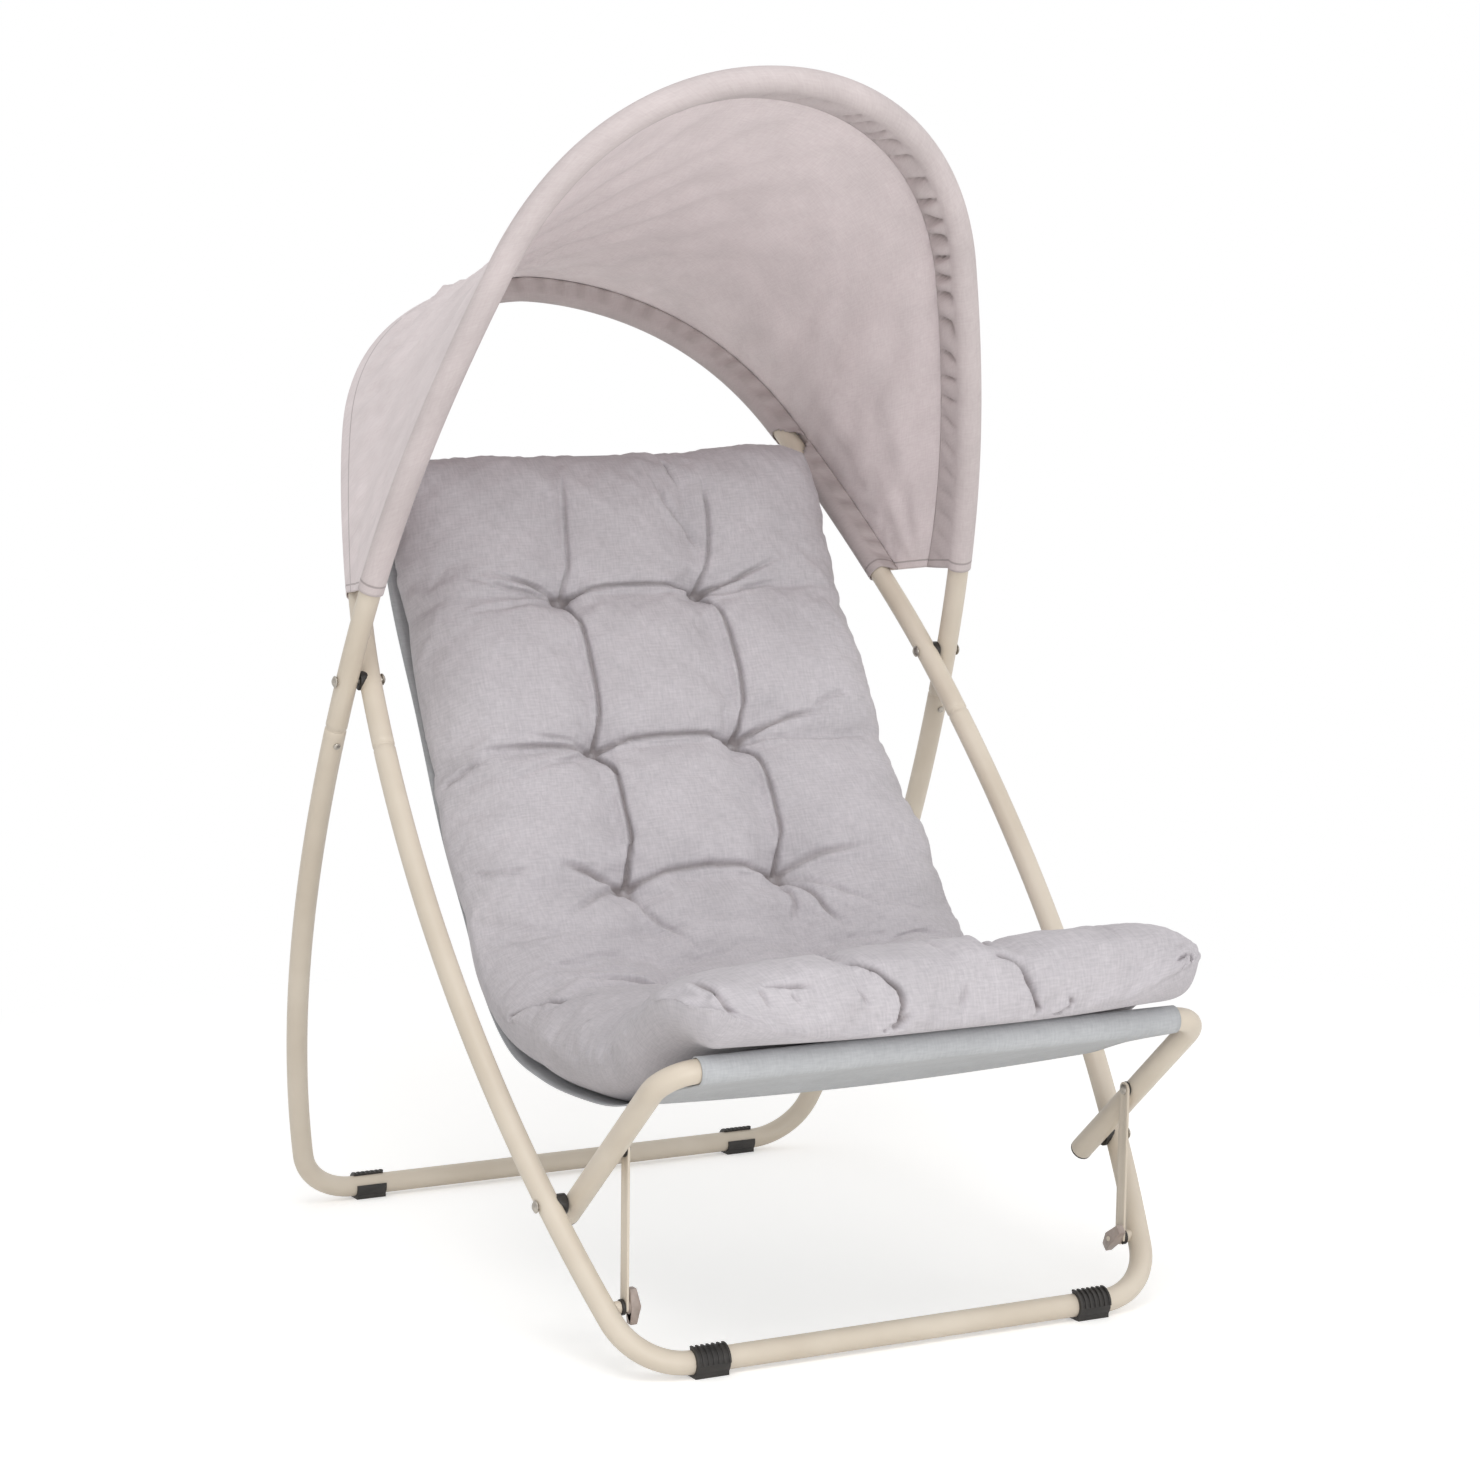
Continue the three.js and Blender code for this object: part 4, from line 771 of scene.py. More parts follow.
start = CUSHION["drop"] * MM / sling_length
rest = line_at(sling_line, start + np.linspace(0, REST_SHARE, 300))
rest = rest + normals_of(rest) * (SLING_THICK / 2 + CUSHION["gap"]) * MM
over_bar = seat_bar + (0, bar_radius + (SLING_THICK / 2 + CUSHION["bar_gap"]) * MM)
way = rest[-1] - rest[-2]
reach = np.linalg.norm(over_bar - rest[-1]) * 0.35
climb = cubic(rest[-1], rest[-1] + way / np.linalg.norm(way) * reach, over_bar + (reach, 0), over_bar, 80)
lip = over_bar + (-CUSHION["hang"] * MM, -CUSHION["droop"] * MM)
bed = even(np.concatenate([rest, climb[1:], [lip]]), 1 * MM)
bed_length, rest_length = step_lengths(bed).sum(), step_lengths(rest).sum()
LENGTH = bed_length / MM
tuft_shares = [row * rest_length / bed_length for row in TUFT_ROWS]
print("cushion length:", round(bed_length, 3), "m")
print("button rows at:", [round(t * bed_length, 3) for t in tuft_shares])

# %% [markdown]
# The cushion's cover is first drawn as a closed, dense shell round that line. Every
# point has a place across, from -1 to 1, a place along, from 0 to 1, and a layer, top
# or bottom. Where the shell is thinnest, at its rim, top and bottom meet. The rim
# draws in beside every row of buttons, because the creases pull on it. The front corners
# are rounded in plan, and the top edge stands up a little near both ends, where the cover
# is loose.

# %% The cushion's shape at one place


def cell(position, edges, power):
    """1 in the middle of a cell and 0 on its seams. A lower power makes it flatter on top."""
    edges = np.asarray(edges, float)
    k = np.clip(np.searchsorted(edges, position, side="right") - 1, 0, len(edges) - 2)
    t = np.clip((position - edges[k]) / (edges[k + 1] - edges[k]), 0, 1)
    return np.sin(math.pi * t) ** power


ROW_EDGES = [0, *tuft_shares, 1]
COLUMN_EDGES = [-CUSHION["half"], *TUFT_COLUMNS, CUSHION["half"]]
bed_way = unit(np.gradient(bed, axis=0))
bed_shares = np.linspace(0, 1, len(bed))


def bed_at(share):
    return points_at(share, bed_shares, bed), points_at(share, bed_shares, bed_way)


def rim_of(share):
    """Half width and the lift of the rim off the sling, in millimetres."""
    bend = smoothstep(share, tuft_shares[1], tuft_shares[2])
    bend = bend * (1 - smoothstep(share, tuft_shares[2], tuft_shares[4]))
    front = smoothstep(share, tuft_shares[3], 1)
    wide = CUSHION["half"] - CUSHION["narrow"] * (1 - np.clip(share / tuft_shares[1], 0, 1))
    drawn = CUSHION["draw"] * (1 - cell(share, ROW_EDGES, 0.7))
    end = np.clip((share - 0.95) / 0.05, 0, 1)
    cornered = CUSHION["front_corner"] * (1 - np.sqrt(1 - end ** 2 * 0.999))
    half = wide + CUSHION["spread"] * np.maximum(front, bend) - drawn - cornered
    return half, CUSHION["lift"] + CUSHION["bend_lift"] * bend + CUSHION["front_lift"] * front


def rounded(distance):
    t = np.clip(distance / CUSHION["round"], 0, 1)
    return np.sqrt(1 - (1 - t) ** 2)


ROLL_START, ROLL_FULL, BAR_REACHED = 0.84, 0.95, 0.93


def cushion_place(across, share, layer, swelling):
    """A point of the cover: layer 1 is the top, 0 the bottom. Swelling is in millimetres."""
    half, lift = rim_of(share)
    lift = lift * (1 - (1 - CUSHION["front_rim"]) * smoothstep(share, 0.94, 1) * (1 - across ** 4))
    crown = np.minimum(rounded((1 - np.abs(across)) * half), rounded(np.minimum(share, 1 - share) * LENGTH))
    low = CUSHION["front_low"] + CUSHION["left_low"] * smoothstep(-across, 0.3, 1)
    depth = CUSHION["depth"] - smoothstep(share, ROLL_START, ROLL_FULL) * low
    under = lift * (1 - crown)
    top = lift + (depth - lift) * crown + swelling * crown
    height = (under + (top - under) * layer) * MM
    place, way = bed_at(share)
    drop = sagging(place, across) * (1 - smoothstep(share, BAR_REACHED, 1))
    ear = hump(across, 0.68, 0.24) + 0.3 * hump(across, -0.62, 0.1)
    over = CUSHION["corner"] * MM * ear * (1 - smoothstep(share, 0, 0.1))
    return np.stack([
        across * half * MM,
        place[..., 0] + way[..., 1] * height - way[..., 0] * over,
        place[..., 1] - way[..., 0] * height - way[..., 1] * over - drop,
    ], axis=-1)


print("half width at the buttons:", [round(float(rim_of(np.array(t))[0]), 1) for t in tuft_shares])

# %% [markdown]
# The shell's rows and columns are spaced evenly along its skin, so that the round rim
# gets as many as the flat top. Top and bottom are two grids whose rims are the same
# places, and merging the doubles sews them together. A closed shell has a positive
# volume only if its faces look outward, and pressure would push an inverted one in, so
# the volume is what decides.

# %% The cover before it is filled
SEAM_DENT, BUTTON_DENT, DENT_WIDTH = 9, 19, 22


def even_shares(length, count):
    """Shares of a length, spaced evenly along a line that rounds down at its ends."""
    x = np.linspace(0, length, 4000)
    line = np.stack([x, rounded(np.minimum(x, length - x)) * CUSHION["round"]], axis=1)
    return even(line, step_lengths(line).sum() / (count - 1))[:, 0] / length


def first_swelling(across, share):
    """The cells' puffs before the filling works: down at the seams, and deepest at the buttons."""
    x, s = across * CUSHION["half"], share * LENGTH
    puff = min(cell(share, ROW_EDGES, 0.33), cell(x, COLUMN_EDGES, 0.33))
    away = min(math.hypot(s - row * LENGTH, x - column) for row in tuft_shares for column in TUFT_COLUMNS)
    return -SEAM_DENT * (1 - puff) - BUTTON_DENT * math.exp(-(away / DENT_WIDTH) ** 2)


def cover_mesh(name, rows, columns):
    shares = even_shares(LENGTH, rows)
    across = even_shares(2 * CUSHION["half"], columns) * 2 - 1
    shell = bmesh.new()
    across_of, share_of, layer_of = (
        shell.verts.layers.float.new(key) for key in ("across", "share", "layer")
    )
    for layer in (0, 1):
        grid = bmesh.ops.create_grid(
            shell, x_segments=len(across) - 1, y_segments=len(shares) - 1, size=0.5,
        )
        for vertex in grid["verts"]:
            i = round((vertex.co.y + 0.5) * (len(shares) - 1))
            k = round((vertex.co.x + 0.5) * (len(across) - 1))
            a, t = across[k], shares[i]
            vertex[across_of], vertex[share_of], vertex[layer_of] = a, t, layer
            vertex.co = cushion_place(np.array(a), np.array(t), layer, first_swelling(a, t) * layer)
    bmesh.ops.remove_doubles(shell, verts=shell.verts, dist=1e-5)
    bmesh.ops.recalc_face_normals(shell, faces=shell.faces)
    if shell.calc_volume(signed=True) < 0:
        bmesh.ops.reverse_faces(shell, faces=shell.faces)
    print("filled space:", round(1000 * shell.calc_volume(signed=True), 1), "litres")
    return to_mesh(shell, name)


cover = cover_mesh("cushion_cover", 196, 94)
print("cover before filling:", len(cover.vertices), "points")

# %% [markdown]
# **Filling it.** A cushion takes its shape from the filling that presses its cover out,
# while the buttons hold it in. A cloth simulation does just that: the cover is given
# air pressure, the points under the buttons and on the sling are held, and the cloth
# between them swells and wrinkles where it has too much length. The movement is capped
# so that the cushion keeps to its place in the sling.

# %% Filling the cover
cushion = put("cushion_cover", cover, "cushion_fabric", None, "cushion")


def read_floats(mesh, name):
    values = np.empty(len(mesh.vertices))
    mesh.attributes[name].data.foreach_get("value", values)
    return values


def read_places(mesh):
    places = np.empty(3 * len(mesh.vertices))
    mesh.vertices.foreach_get("co", places)
    return places.reshape(-1, 3)


def write_places(mesh, places):
    mesh.vertices.foreach_set("co", np.ascontiguousarray(places, dtype=np.float32).ravel())
    mesh.update()


def fill(piece, held, pressure, frames, cap):
    """Swells a closed cover from inside. held is 0 to 1 for each point, cap in metres."""
    start = read_places(piece.data)
    group = piece.vertex_groups.new(name="held")
    for level in np.unique(held[held > 0]):
        group.add(np.nonzero(held == level)[0].tolist(), float(level), "REPLACE")
    cloth = piece.modifiers.new("filling", "CLOTH")
    cloth.settings.quality = 6
    cloth.settings.mass = 0.3
    cloth.settings.tension_stiffness = cloth.settings.compression_stiffness = 25
    cloth.settings.shear_stiffness = 12
    cloth.settings.bending_stiffness = 0.4
    cloth.settings.use_pressure = True
    cloth.settings.uniform_pressure_force = pressure
    cloth.settings.effector_weights.gravity = 0
    cloth.settings.vertex_group_mass = group.name
    cloth.settings.shrink_min = -0.035
    cloth.collision_settings.use_collision = False
    cloth.point_cache.frame_end = frames
    for step in range(1, frames + 1):
        bpy.context.scene.frame_set(step)
    graph = bpy.context.evaluated_depsgraph_get()
    moved = read_places(piece.evaluated_get(graph).data) - start
    bpy.context.scene.frame_set(1)
    piece.modifiers.remove(cloth)
    piece.vertex_groups.remove(group)
    far = np.linalg.norm(moved, axis=1)
    limit = cap * np.tanh(far / cap) / np.maximum(far, 1e-9)
    write_places(piece.data, start + moved * limit[:, None])
    return far


# How near to a button or to a row or column a point is held, and how firmly the rows are
NEAR_BUTTON, NEAR_ROW, PAST_BUTTONS, ROW_HOLD = 11, 6, 8, 0.35
across, share, layer = (read_floats(cover, key) for key in ("across", "share", "layer"))
flat_x = across * CUSHION["half"]
flat_s = share * LENGTH
rows_s = np.array(tuft_shares) * LENGTH
to_column = np.abs(flat_x[:, None] - TUFT_COLUMNS).min(axis=1)
to_row = np.abs(flat_s[:, None] - rows_s).min(axis=1)
to_button = np.hypot(to_column, to_row)
held = np.where(layer < 0.5, 1.0, 0.0)
held = np.where((layer >= 0.5) & (to_button < NEAR_BUTTON), 1.0, held)
inner = (flat_x > TUFT_COLUMNS[0] - PAST_BUTTONS) & (flat_x < TUFT_COLUMNS[1] + PAST_BUTTONS)
on_row = ((to_column < NEAR_ROW) | (to_row < NEAR_ROW)) & inner
held = np.where((held == 0) & on_row, ROW_HOLD, held)
far = fill(cushion, held, pressure=3.4, frames=20, cap=15 * MM)
print("before the cap, the filling moved the cover by up to", round(float(far.max()), 3), "m")

# %% [markdown]
# **One smoothing and finer points.** One level of subdivision rounds what the simulation
# left angular, and gives enough points for the sewn lines.

# %% Finer points


def on_skin(place, length):
    """Millimetres along the skin: the place itself in the middle, and further out where it rounds down."""
    edge = np.minimum(place, length - place)
    turned = np.arcsin(1 - np.clip(edge / CUSHION["round"], 0, 1))
    skin = np.where(turned > 0, CUSHION["round"] * (1 - turned), edge)
    return np.where(place < length / 2, skin, length - skin)


def flat_places(mesh):
    """Every point's place (x, s) on the flat cover, in millimetres, and its layer."""
    across, share, layer = (read_floats(mesh, key) for key in ("across", "share", "layer"))
    wide = 2 * CUSHION["half"]
    x = on_skin((across + 1) / 2 * wide, wide) - CUSHION["half"]
    return np.stack([x, on_skin(share * LENGTH, LENGTH)], axis=1), layer


level = cushion.modifiers.new("finer", "SUBSURF")
level.levels = level.render_levels = 1
cover = evaluated(cushion)
cushion.modifiers.remove(level)
cushion.data = cover
print("points now:", len(cover.vertices))

# %% [markdown]
# **Creases.** Between the buttons the cover is drawn into narrow creases that bow, since the
# fuller cell pushes them aside. From each button short folds fan out to the rim, and at
# the front edge the roll is pinched between its three cells. Each crease is a smooth
# line on the flat cover: a narrow valley with a small lip on one side, fading at its
# ends.

# %% Helpers for creases


def wander(x, y, seed):
    """A smooth, wandering value from about -1 to 1, the same on every run."""
    rng = np.random.default_rng(seed)
    total = 0
    for turns, size in ((1.0, 0.5), (1.9, 0.3), (3.7, 0.2)):
        a, b, c, d = rng.uniform(0, 2 * math.pi, 4)
        total = total + size * np.sin(turns * (x * math.cos(a) + y * math.sin(a)) * 2 * math.pi + b) \
            * np.cos(turns * (y * math.cos(c) - x * math.sin(c)) * 2 * math.pi + d) * 1.6
    return total


def crease(points, depth, width, fade, lip=0.3):
    """A crease through flat points (x, s) in millimetres, which fades over two shares of its length."""
    return even(smooth_line(points), 4), depth, width, lip, fade


def sink_creases(flat, lines):
    """How far each flat point sinks below the cover, in millimetres."""
    total = np.zeros(len(flat))
    for line, depth, width, lip, (fade_in, fade_out) in lines:
        low, high = line.min(axis=0) - 4 * width, line.max(axis=0) + 4 * width
        near = np.nonzero(((flat >= low) & (flat <= high)).all(axis=1))[0]
        if not len(near):
            continue
        start, step = line[:-1], np.diff(line, axis=0)
        offset = flat[near][:, None, :] - start[None]
        t = np.clip((offset * step[None]).sum(axis=2) / (step ** 2).sum(axis=1)[None], 0, 1)
        gap = offset - step[None] * t[:, :, None]
        away = np.linalg.norm(gap, axis=2)
        k = away.argmin(axis=1)
        pick = np.arange(len(near)), k
        side = np.sign(step[k, 0] * gap[pick][:, 1] - step[k, 1] * gap[pick][:, 0])
        along = (k + t[pick]) / len(step)
        strength = 1.0
        if fade_in:
            strength = smoothstep(along, 0, fade_in) * (1 - smoothstep(along, 1 - fade_out, 1))
        d = away[pick] / width
        valley = np.exp(-d ** 2 * 1.6)
        ridge = lip * hump(d, 1.3, 0.6) * (side > 0)
        total[near] = np.maximum(total[near], depth * strength * valley) - depth * strength * ridge
    return total


# %% The creases of this cushion
R1, R2, R3, R4, R5 = rows_s
LEFT, RIGHT = TUFT_COLUMNS
SEWN = 0.02, 0.02
creases = [crease(*values) for values in (
    ([(-80, 22), (-86, 60), (-91, 118), (-95, 160), (LEFT, R1)], 7, 3.4, (0.25, 0.02)),
    ([(LEFT, R1), (-93, 243), (-92, 291), (-94, 340), (LEFT, R2)], 10, 3.6, SEWN),
    ([(LEFT, R2), (-91, 425), (-89, 480), (-91, 524), (LEFT, R3)], 12, 3.6, SEWN),
    ([(106, 40), (104, 94), (94, 152), (RIGHT, R1)], 8, 3.6, (0.25, 0.02)),
    ([(RIGHT, R1), (94, 236), (97, 290), (92, 345), (RIGHT, R2)], 10, 3.9, SEWN),
    ([(RIGHT, R2), (95, 424), (96, 480), (91, 531), (RIGHT, R3)], 10, 3.6, SEWN),
    ([(64, 12), (66, 36), (73, 58)], 13, 3.0, (0.3, 0.4)),
    ([(40, 30), (46, 75), (72, 110), (92, 150)], 6, 5.0, (0.3, 0.3)),
)]
for row in (R1, R2, R3):
    bowed = [(LEFT, row), (-66, row - 7), (-14, row - 10), (35, row - 8), (RIGHT, row)]
    creases.append(crease(bowed, 9, 4.2, SEWN))
FANS = [
    ((LEFT, R1), [
        ([(-142, 186), (-179, 174), (-211, 157)], 9), ([(-157, 196), (-209, 180), (-247, 162)], 6),
        ([(-150, 214), (-215, 224), (-268, 228)], 4),
    ]),
    ((RIGHT, R1), [([(117, 194), (151, 178), (206, 151)], 9), ([(120, 208), (180, 196), (240, 188)], 4)]),
    ((LEFT, R2), [
        ([(-147, 383), (-183, 376), (-212, 368)], 7), ([(-190, 388), (-249, 388), (-284, 382)], 8),
        ([(-150, 410), (-215, 432), (-262, 446)], 4),
    ]),
    ((RIGHT, R2), [
        ([(114, 381), (154, 372), (197, 366), (232, 364)], 9), ([(130, 398), (190, 402), (250, 398)], 4),
    ]),
    ((LEFT, R3), [
        ([(-142, 567), (-172, 558), (-208, 553)], 10), ([(-136, 582), (-168, 598), (-210, 622)], 7),
    ]),
    ((RIGHT, R3), [
        ([(117, 566), (162, 562), (225, 562)], 8), ([(84, 610), (78, 640), (76, 668)], 7),
        ([(106, 606), (118, 650), (134, 708)], 9), ([(112, 590), (165, 628), (215, 668)], 5),
    ]),
    ((LEFT, R3), [([(-92, 620), (-66, 676), (-50, 740)], 6)]),
    ((LEFT, R4), [([(-160, R4 - 18), (-240, R4 - 36)], 7), ([(-165, R4 + 16), (-245, R4 + 44)], 7)]),
    ((RIGHT, R4), [([(135, R4 - 20), (230, R4 - 44)], 7), ([(138, R4 + 14), (220, R4 + 30)], 7)]),
    ((LEFT, R4), [([(-60, R4 + 12), (-20, R4 + 40)], 6)]),
    ((RIGHT, R4), [([(40, R4 - 12), (0, R4 - 34)], 6)]),
    ((LEFT, R5), [([(-150, R5 + 20), (-225, R5 + 34)], 7)]),
    ((RIGHT, R5), [([(130, R5 + 14), (200, R5 + 22)], 7)]),
]
for button, folds in FANS:
    creases += [crease([button, *fold], depth, 5.0, (0.03, 0.6), lip=0.4) for fold, depth in folds]
creases += [crease(*values) for values in (
    ([(-206, 560), (-254, 557), (-304, 546)], 5, 3.7, (0.3, 0.3)),
    ([(-240, 396), (-276, 408), (-308, 418)], 6, 5.0, (0.3, 0.2)),
    ([(172, 366), (201, 350), (236, 342)], 5, 3.7, (0.3, 0.3)),
    ([(-318, 780), (-288, 800), (-262, 832), (-215, 905)], 10, 5.0, (0.1, 0.5)),
    ([(-286, 944), (-266, 952), (-240, 976)], 9, 3.7, (0.3, 0.4)),
    ([(LEFT + 4, R5 - 120), (LEFT - 3, R5 - 40), (LEFT, R5 + 30), (LEFT + 4, R5 + 110), (-112, 1240)],
     12, 8, (0.3, 0.1)),
    ([(RIGHT, R5 - 120), (RIGHT + 3, R5 - 40), (RIGHT, R5 + 30), (RIGHT - 8, R5 + 110), (50, 1254)],
     12, 8, (0.3, 0.1)),
    ([(-118, 1238), (-98, 1248), (-80, 1266), (-68, 1280), (-68, 1293), (-78, 1312)], 15, 4.1, (0.2, 0.05)),
    ([(-60, 1296), (-72, 1308), (-96, 1318)], 9, 3.6, (0.3, 0.1)),
    ([(46, 1254), (72, 1264), (80, 1280), (87, 1297), (96, 1316)], 14, 3.9, (0.2, 0.05)),
    ([(127, 1299), (134, 1310), (112, 1320)], 10, 3.6, (0.3, 0.1)),
    ([(-213, 1258), (-192, 1262), (-150, 1269)], 8, 3.6, (0.3, 0.4)),
    ([(-214, 1262), (-216, 1290)], 6, 3.6, (0.2, 0.5)), ([(-187, 1270), (-179, 1288)], 5, 3.4, (0.3, 0.5)),
    ([(-115, 1274), (-106, 1294)], 6, 3.6, (0.3, 0.4)), ([(13, 1280), (-2, 1302)], 5, 5.0, (0.4, 0.4)),
    ([(254, 1292), (280, 1286), (296, 1310)], 7, 3.6, (0.3, 0.3)),
    ([(-262, 1220), (-258, 1262), (-262, 1300)], 9, 6.0, (0.3, 0.2)),
    ([(160, 1180), (190, 1215), (200, 1262)], 5, 6.0, (0.4, 0.4)),
    ([(-20, 1190), (0, 1230), (4, 1262)], 5, 6.0, (0.4, 0.4)),
)]
print("creases:", len(creases))

# %% [markdown]
# A crease is only about as wide as one or two of the cover's faces, so the top layer's
# edges are halved once more near the creases and nowhere else.

# %% Points enough for the creases
flat, layer = flat_places(cover)
wide_creases = [(line, 1, 2.2 * width, 0, (0, 0)) for line, _, width, _, _ in creases]
near_crease = np.abs(sink_creases(flat, wide_creases)) > 0.2
shape = bmesh.new()
shape.from_mesh(cover)
shape.verts.ensure_lookup_table()
wanted = near_crease & (layer > 0.6)
edges = [e for e in shape.edges if wanted[e.verts[0].index] and wanted[e.verts[1].index]]
bmesh.ops.subdivide_edges(shape, edges=edges, cuts=1, use_grid_fill=True, smooth=0)
shape.to_mesh(cover)
shape.free()
print("points now:", len(cover.vertices))

# %% Sinking the creases and the buttons
CREASE_DEPTH, BUTTON_DEPTH, BUTTON_REACH = 0.85, 6, 8
flat, layer = flat_places(cover)
to_column = np.abs(flat[:, :1] - TUFT_COLUMNS).min(axis=1)
to_row = np.abs(flat[:, 1:] - rows_s[None]).min(axis=1)
sunk = CREASE_DEPTH * sink_creases(flat, creases)
sunk = sunk + BUTTON_DEPTH * hump(np.hypot(to_column, to_row), 0, BUTTON_REACH)
# The cover also ripples by a millimetre or two, in long waves and in short ones
ripple = 1.5 * wander(flat[:, 0] / 130, flat[:, 1] / 90, 21)
ripple = ripple + 0.7 * wander(flat[:, 0] / 42, flat[:, 1] / 55, 22)
normal = np.empty(3 * len(cover.vertices))
cover.vertex_normals.foreach_get("vector", normal)
normal = normal.reshape(-1, 3)
upper = smoothstep(layer, 0.4, 1.0)
write_places(cover, read_places(cover) - normal * ((sunk - ripple) * upper)[:, None] * MM)
shade_smooth(cover, 180)

# %% The cushion's maps: flat cloth in metres, and how deep a place lies in a crease, which sets its painted shade
# Painted shade in the creases: it starts where the cover sinks 1.5 mm and is full at 11 mm.
SHADE_FROM, FULL_SHADE_AT = 1.5, 11
face_map = cover.uv_layers.new(name="UVMap")
loop_vertex = np.empty(len(cover.loops), dtype=int)
cover.loops.foreach_get("vertex_index", loop_vertex)
face_map.data.foreach_set("uv", (flat[loop_vertex] * MM).ravel())
depth_map = cover.uv_layers.new(name="creases")
shade_in_crease = smoothstep(np.repeat(sunk * upper, 2), SHADE_FROM, FULL_SHADE_AT).reshape(-1, 2)
depth_map.data.foreach_set("uv", shade_in_crease[loop_vertex].ravel())
print("cushion faces:", len(cover.polygons))

# %% [markdown]
# ## The canopy
# One sheet of cloth, sewn into a wide pocket for the front hoop and a narrow one for the
# rear hoop. Between the hoops it is pulled along the arch but hollows a little across.
# Its section at one place of the arch is drawn first: up from the front pocket's seam,
# round the tube, back over the sheet, round the rear tube and to the rear seam.

# %% One section of the canopy
LAYER_GAP, CANOPY_THICK = 1.3, 1.1
SLEEVE = TUBE + LAYER_GAP + CANOPY_THICK / 2
FRONT_POCKET, REAR_POCKET, SHEET_SAG = 58, 21, 0.05
LEAVE = math.pi / 2 - math.atan(4 * SHEET_SAG)
FLAP_END, RING_POINTS, SHEET_POINTS, HEM_POINTS = 12, 17, 32, 5


def arch(shape, shares):
    """Places and directions along a hoop, from its right-hand sleeve end to its left-hand one."""
    line = hoop_line(shape)
    line = line[line[:, 1] >= shape["sleeve"]]
    reach = running_sum(step_lengths(line))
    flat = points_at(shares * reach[-1], reach, line)
    places = on_plane(shape, flat)
    return places, unit(np.gradient(places, axis=0)), flat, reach[-1]


def basis(centre, other, way, hub):
    across = other - centre
    across = across - way * (across @ way)
    across /= np.linalg.norm(across)
    out = np.cross(way, across)
    return across, out if out @ (centre - hub) > 0 else -out


def ring(centre, across, out, start, end, count):
    angles = np.linspace(start, end, count)[:, None]
    return centre + SLEEVE * MM * (across * np.cos(angles) + out * np.sin(angles))


def underside(centre, across, out, seam):
    """The angle at which the pocket's lower layer leaves the tube to reach its seam."""
    a, o = (seam - centre) @ across, (seam - centre) @ out
    return math.atan2(o, a) - math.acos(SLEEVE * MM / math.hypot(a, o))


def section(front, rear, front_way, rear_way):
    """One line over the canopy, from the front pocket's seam to the rear one's."""
    hub = np.array([0, rear[1], pivot.z])
    fa, fo = basis(front, rear, front_way, hub)
    ra, ro = basis(rear, front, rear_way, hub)
    start = ring(front, fa, fo, LEAVE, LEAVE, 1)[0]
    end = ring(rear, ra, ro, LEAVE, LEAVE, 1)[0]
    length = np.linalg.norm(end - start)
    pocket, hem = FRONT_POCKET * MM / length, REAR_POCKET * MM / length
    t = np.unique(np.concatenate([
        np.linspace(0, pocket, 5), np.linspace(pocket, 1 - hem, SHEET_POINTS),
        np.linspace(1 - hem, 1, 4),
    ]))

    def sheet_at(t):
        t = np.atleast_1d(t)[:, None]
        inwards = unit(fo * (1 - t) + ro * t)
        return start * (1 - t) + end * t - inwards * SHEET_SAG * length * 4 * t * (1 - t)

    front_seam = sheet_at(pocket)[0] - fo * LAYER_GAP * MM
    rear_seam = sheet_at(1 - hem)[0] - ro * LAYER_GAP * MM
    low_front, low_rear = underside(front, fa, fo, front_seam), underside(rear, ra, ro, rear_seam)
    front_ring = ring(front, fa, fo, low_front + 2 * math.pi, LEAVE, RING_POINTS)
    rear_ring = ring(rear, ra, ro, LEAVE, low_rear + 2 * math.pi, RING_POINTS)
    flap = np.linspace(0, 1, FLAP_END + 1)[:-1, None]
    back = np.linspace(0, 1, HEM_POINTS + 1)[1:, None]
    return np.concatenate([
        front_seam * (1 - flap) + front_ring[0] * flap, front_ring, sheet_at(t)[1:-1],
        rear_ring, rear_ring[-1] * (1 - back) + rear_seam * back,
    ])


# %% The canopy's sheet
SLOT_RISE, SLOT_HALF = 324.5, 27.5
stations = np.linspace(0, 1, 421)
rises = arch(FRONT, stations)[2][:, 1]
by_slot = stations[np.abs(rises - SLOT_RISE) < SLOT_HALF + 9]
finer = [np.linspace(part[0], part[-1], 34) for part in np.split(by_slot, [np.argmax(np.diff(by_slot)) + 1])]
stations = np.unique(np.round(np.concatenate([stations, *finer]), 6))
front_places, front_way, _, front_length = arch(REAR, stations)
rear_places, rear_way, _, rear_length = arch(FRONT, stations)
ends_of_sections = zip(front_places, rear_places, front_way, rear_way)
places = np.stack([section(*ends) for ends in ends_of_sections])
columns = places.shape[1]
print("canopy stations and columns:", places.shape[:2])
print("arches:", round(front_length), round(rear_length), "mm")

# %% Its two maps of flat cloth
steps = np.linalg.norm(np.diff(places, axis=1), axis=2)
along_section = np.concatenate([np.zeros((len(places), 1)), np.cumsum(steps, axis=1)], axis=1)
sheet_start, sheet_end = FLAP_END + RING_POINTS - 1, columns - HEM_POINTS - RING_POINTS
from_front = along_section - along_section[:, sheet_start][:, None]
from_rear = along_section[:, sheet_end][:, None] - along_section
arch_lengths = front_length + (rear_length - front_length) * np.linspace(0, 1, columns)
along_arch = stations[:, None] * arch_lengths * MM
from_left = along_arch[-1][None, :] - along_arch


def normals_on(places):
    down, over = np.gradient(places, axis=0), np.gradient(places, axis=1)
    normal = np.cross(over, down)
    return normal / np.maximum(np.linalg.norm(normal, axis=2, keepdims=True), 1e-12)


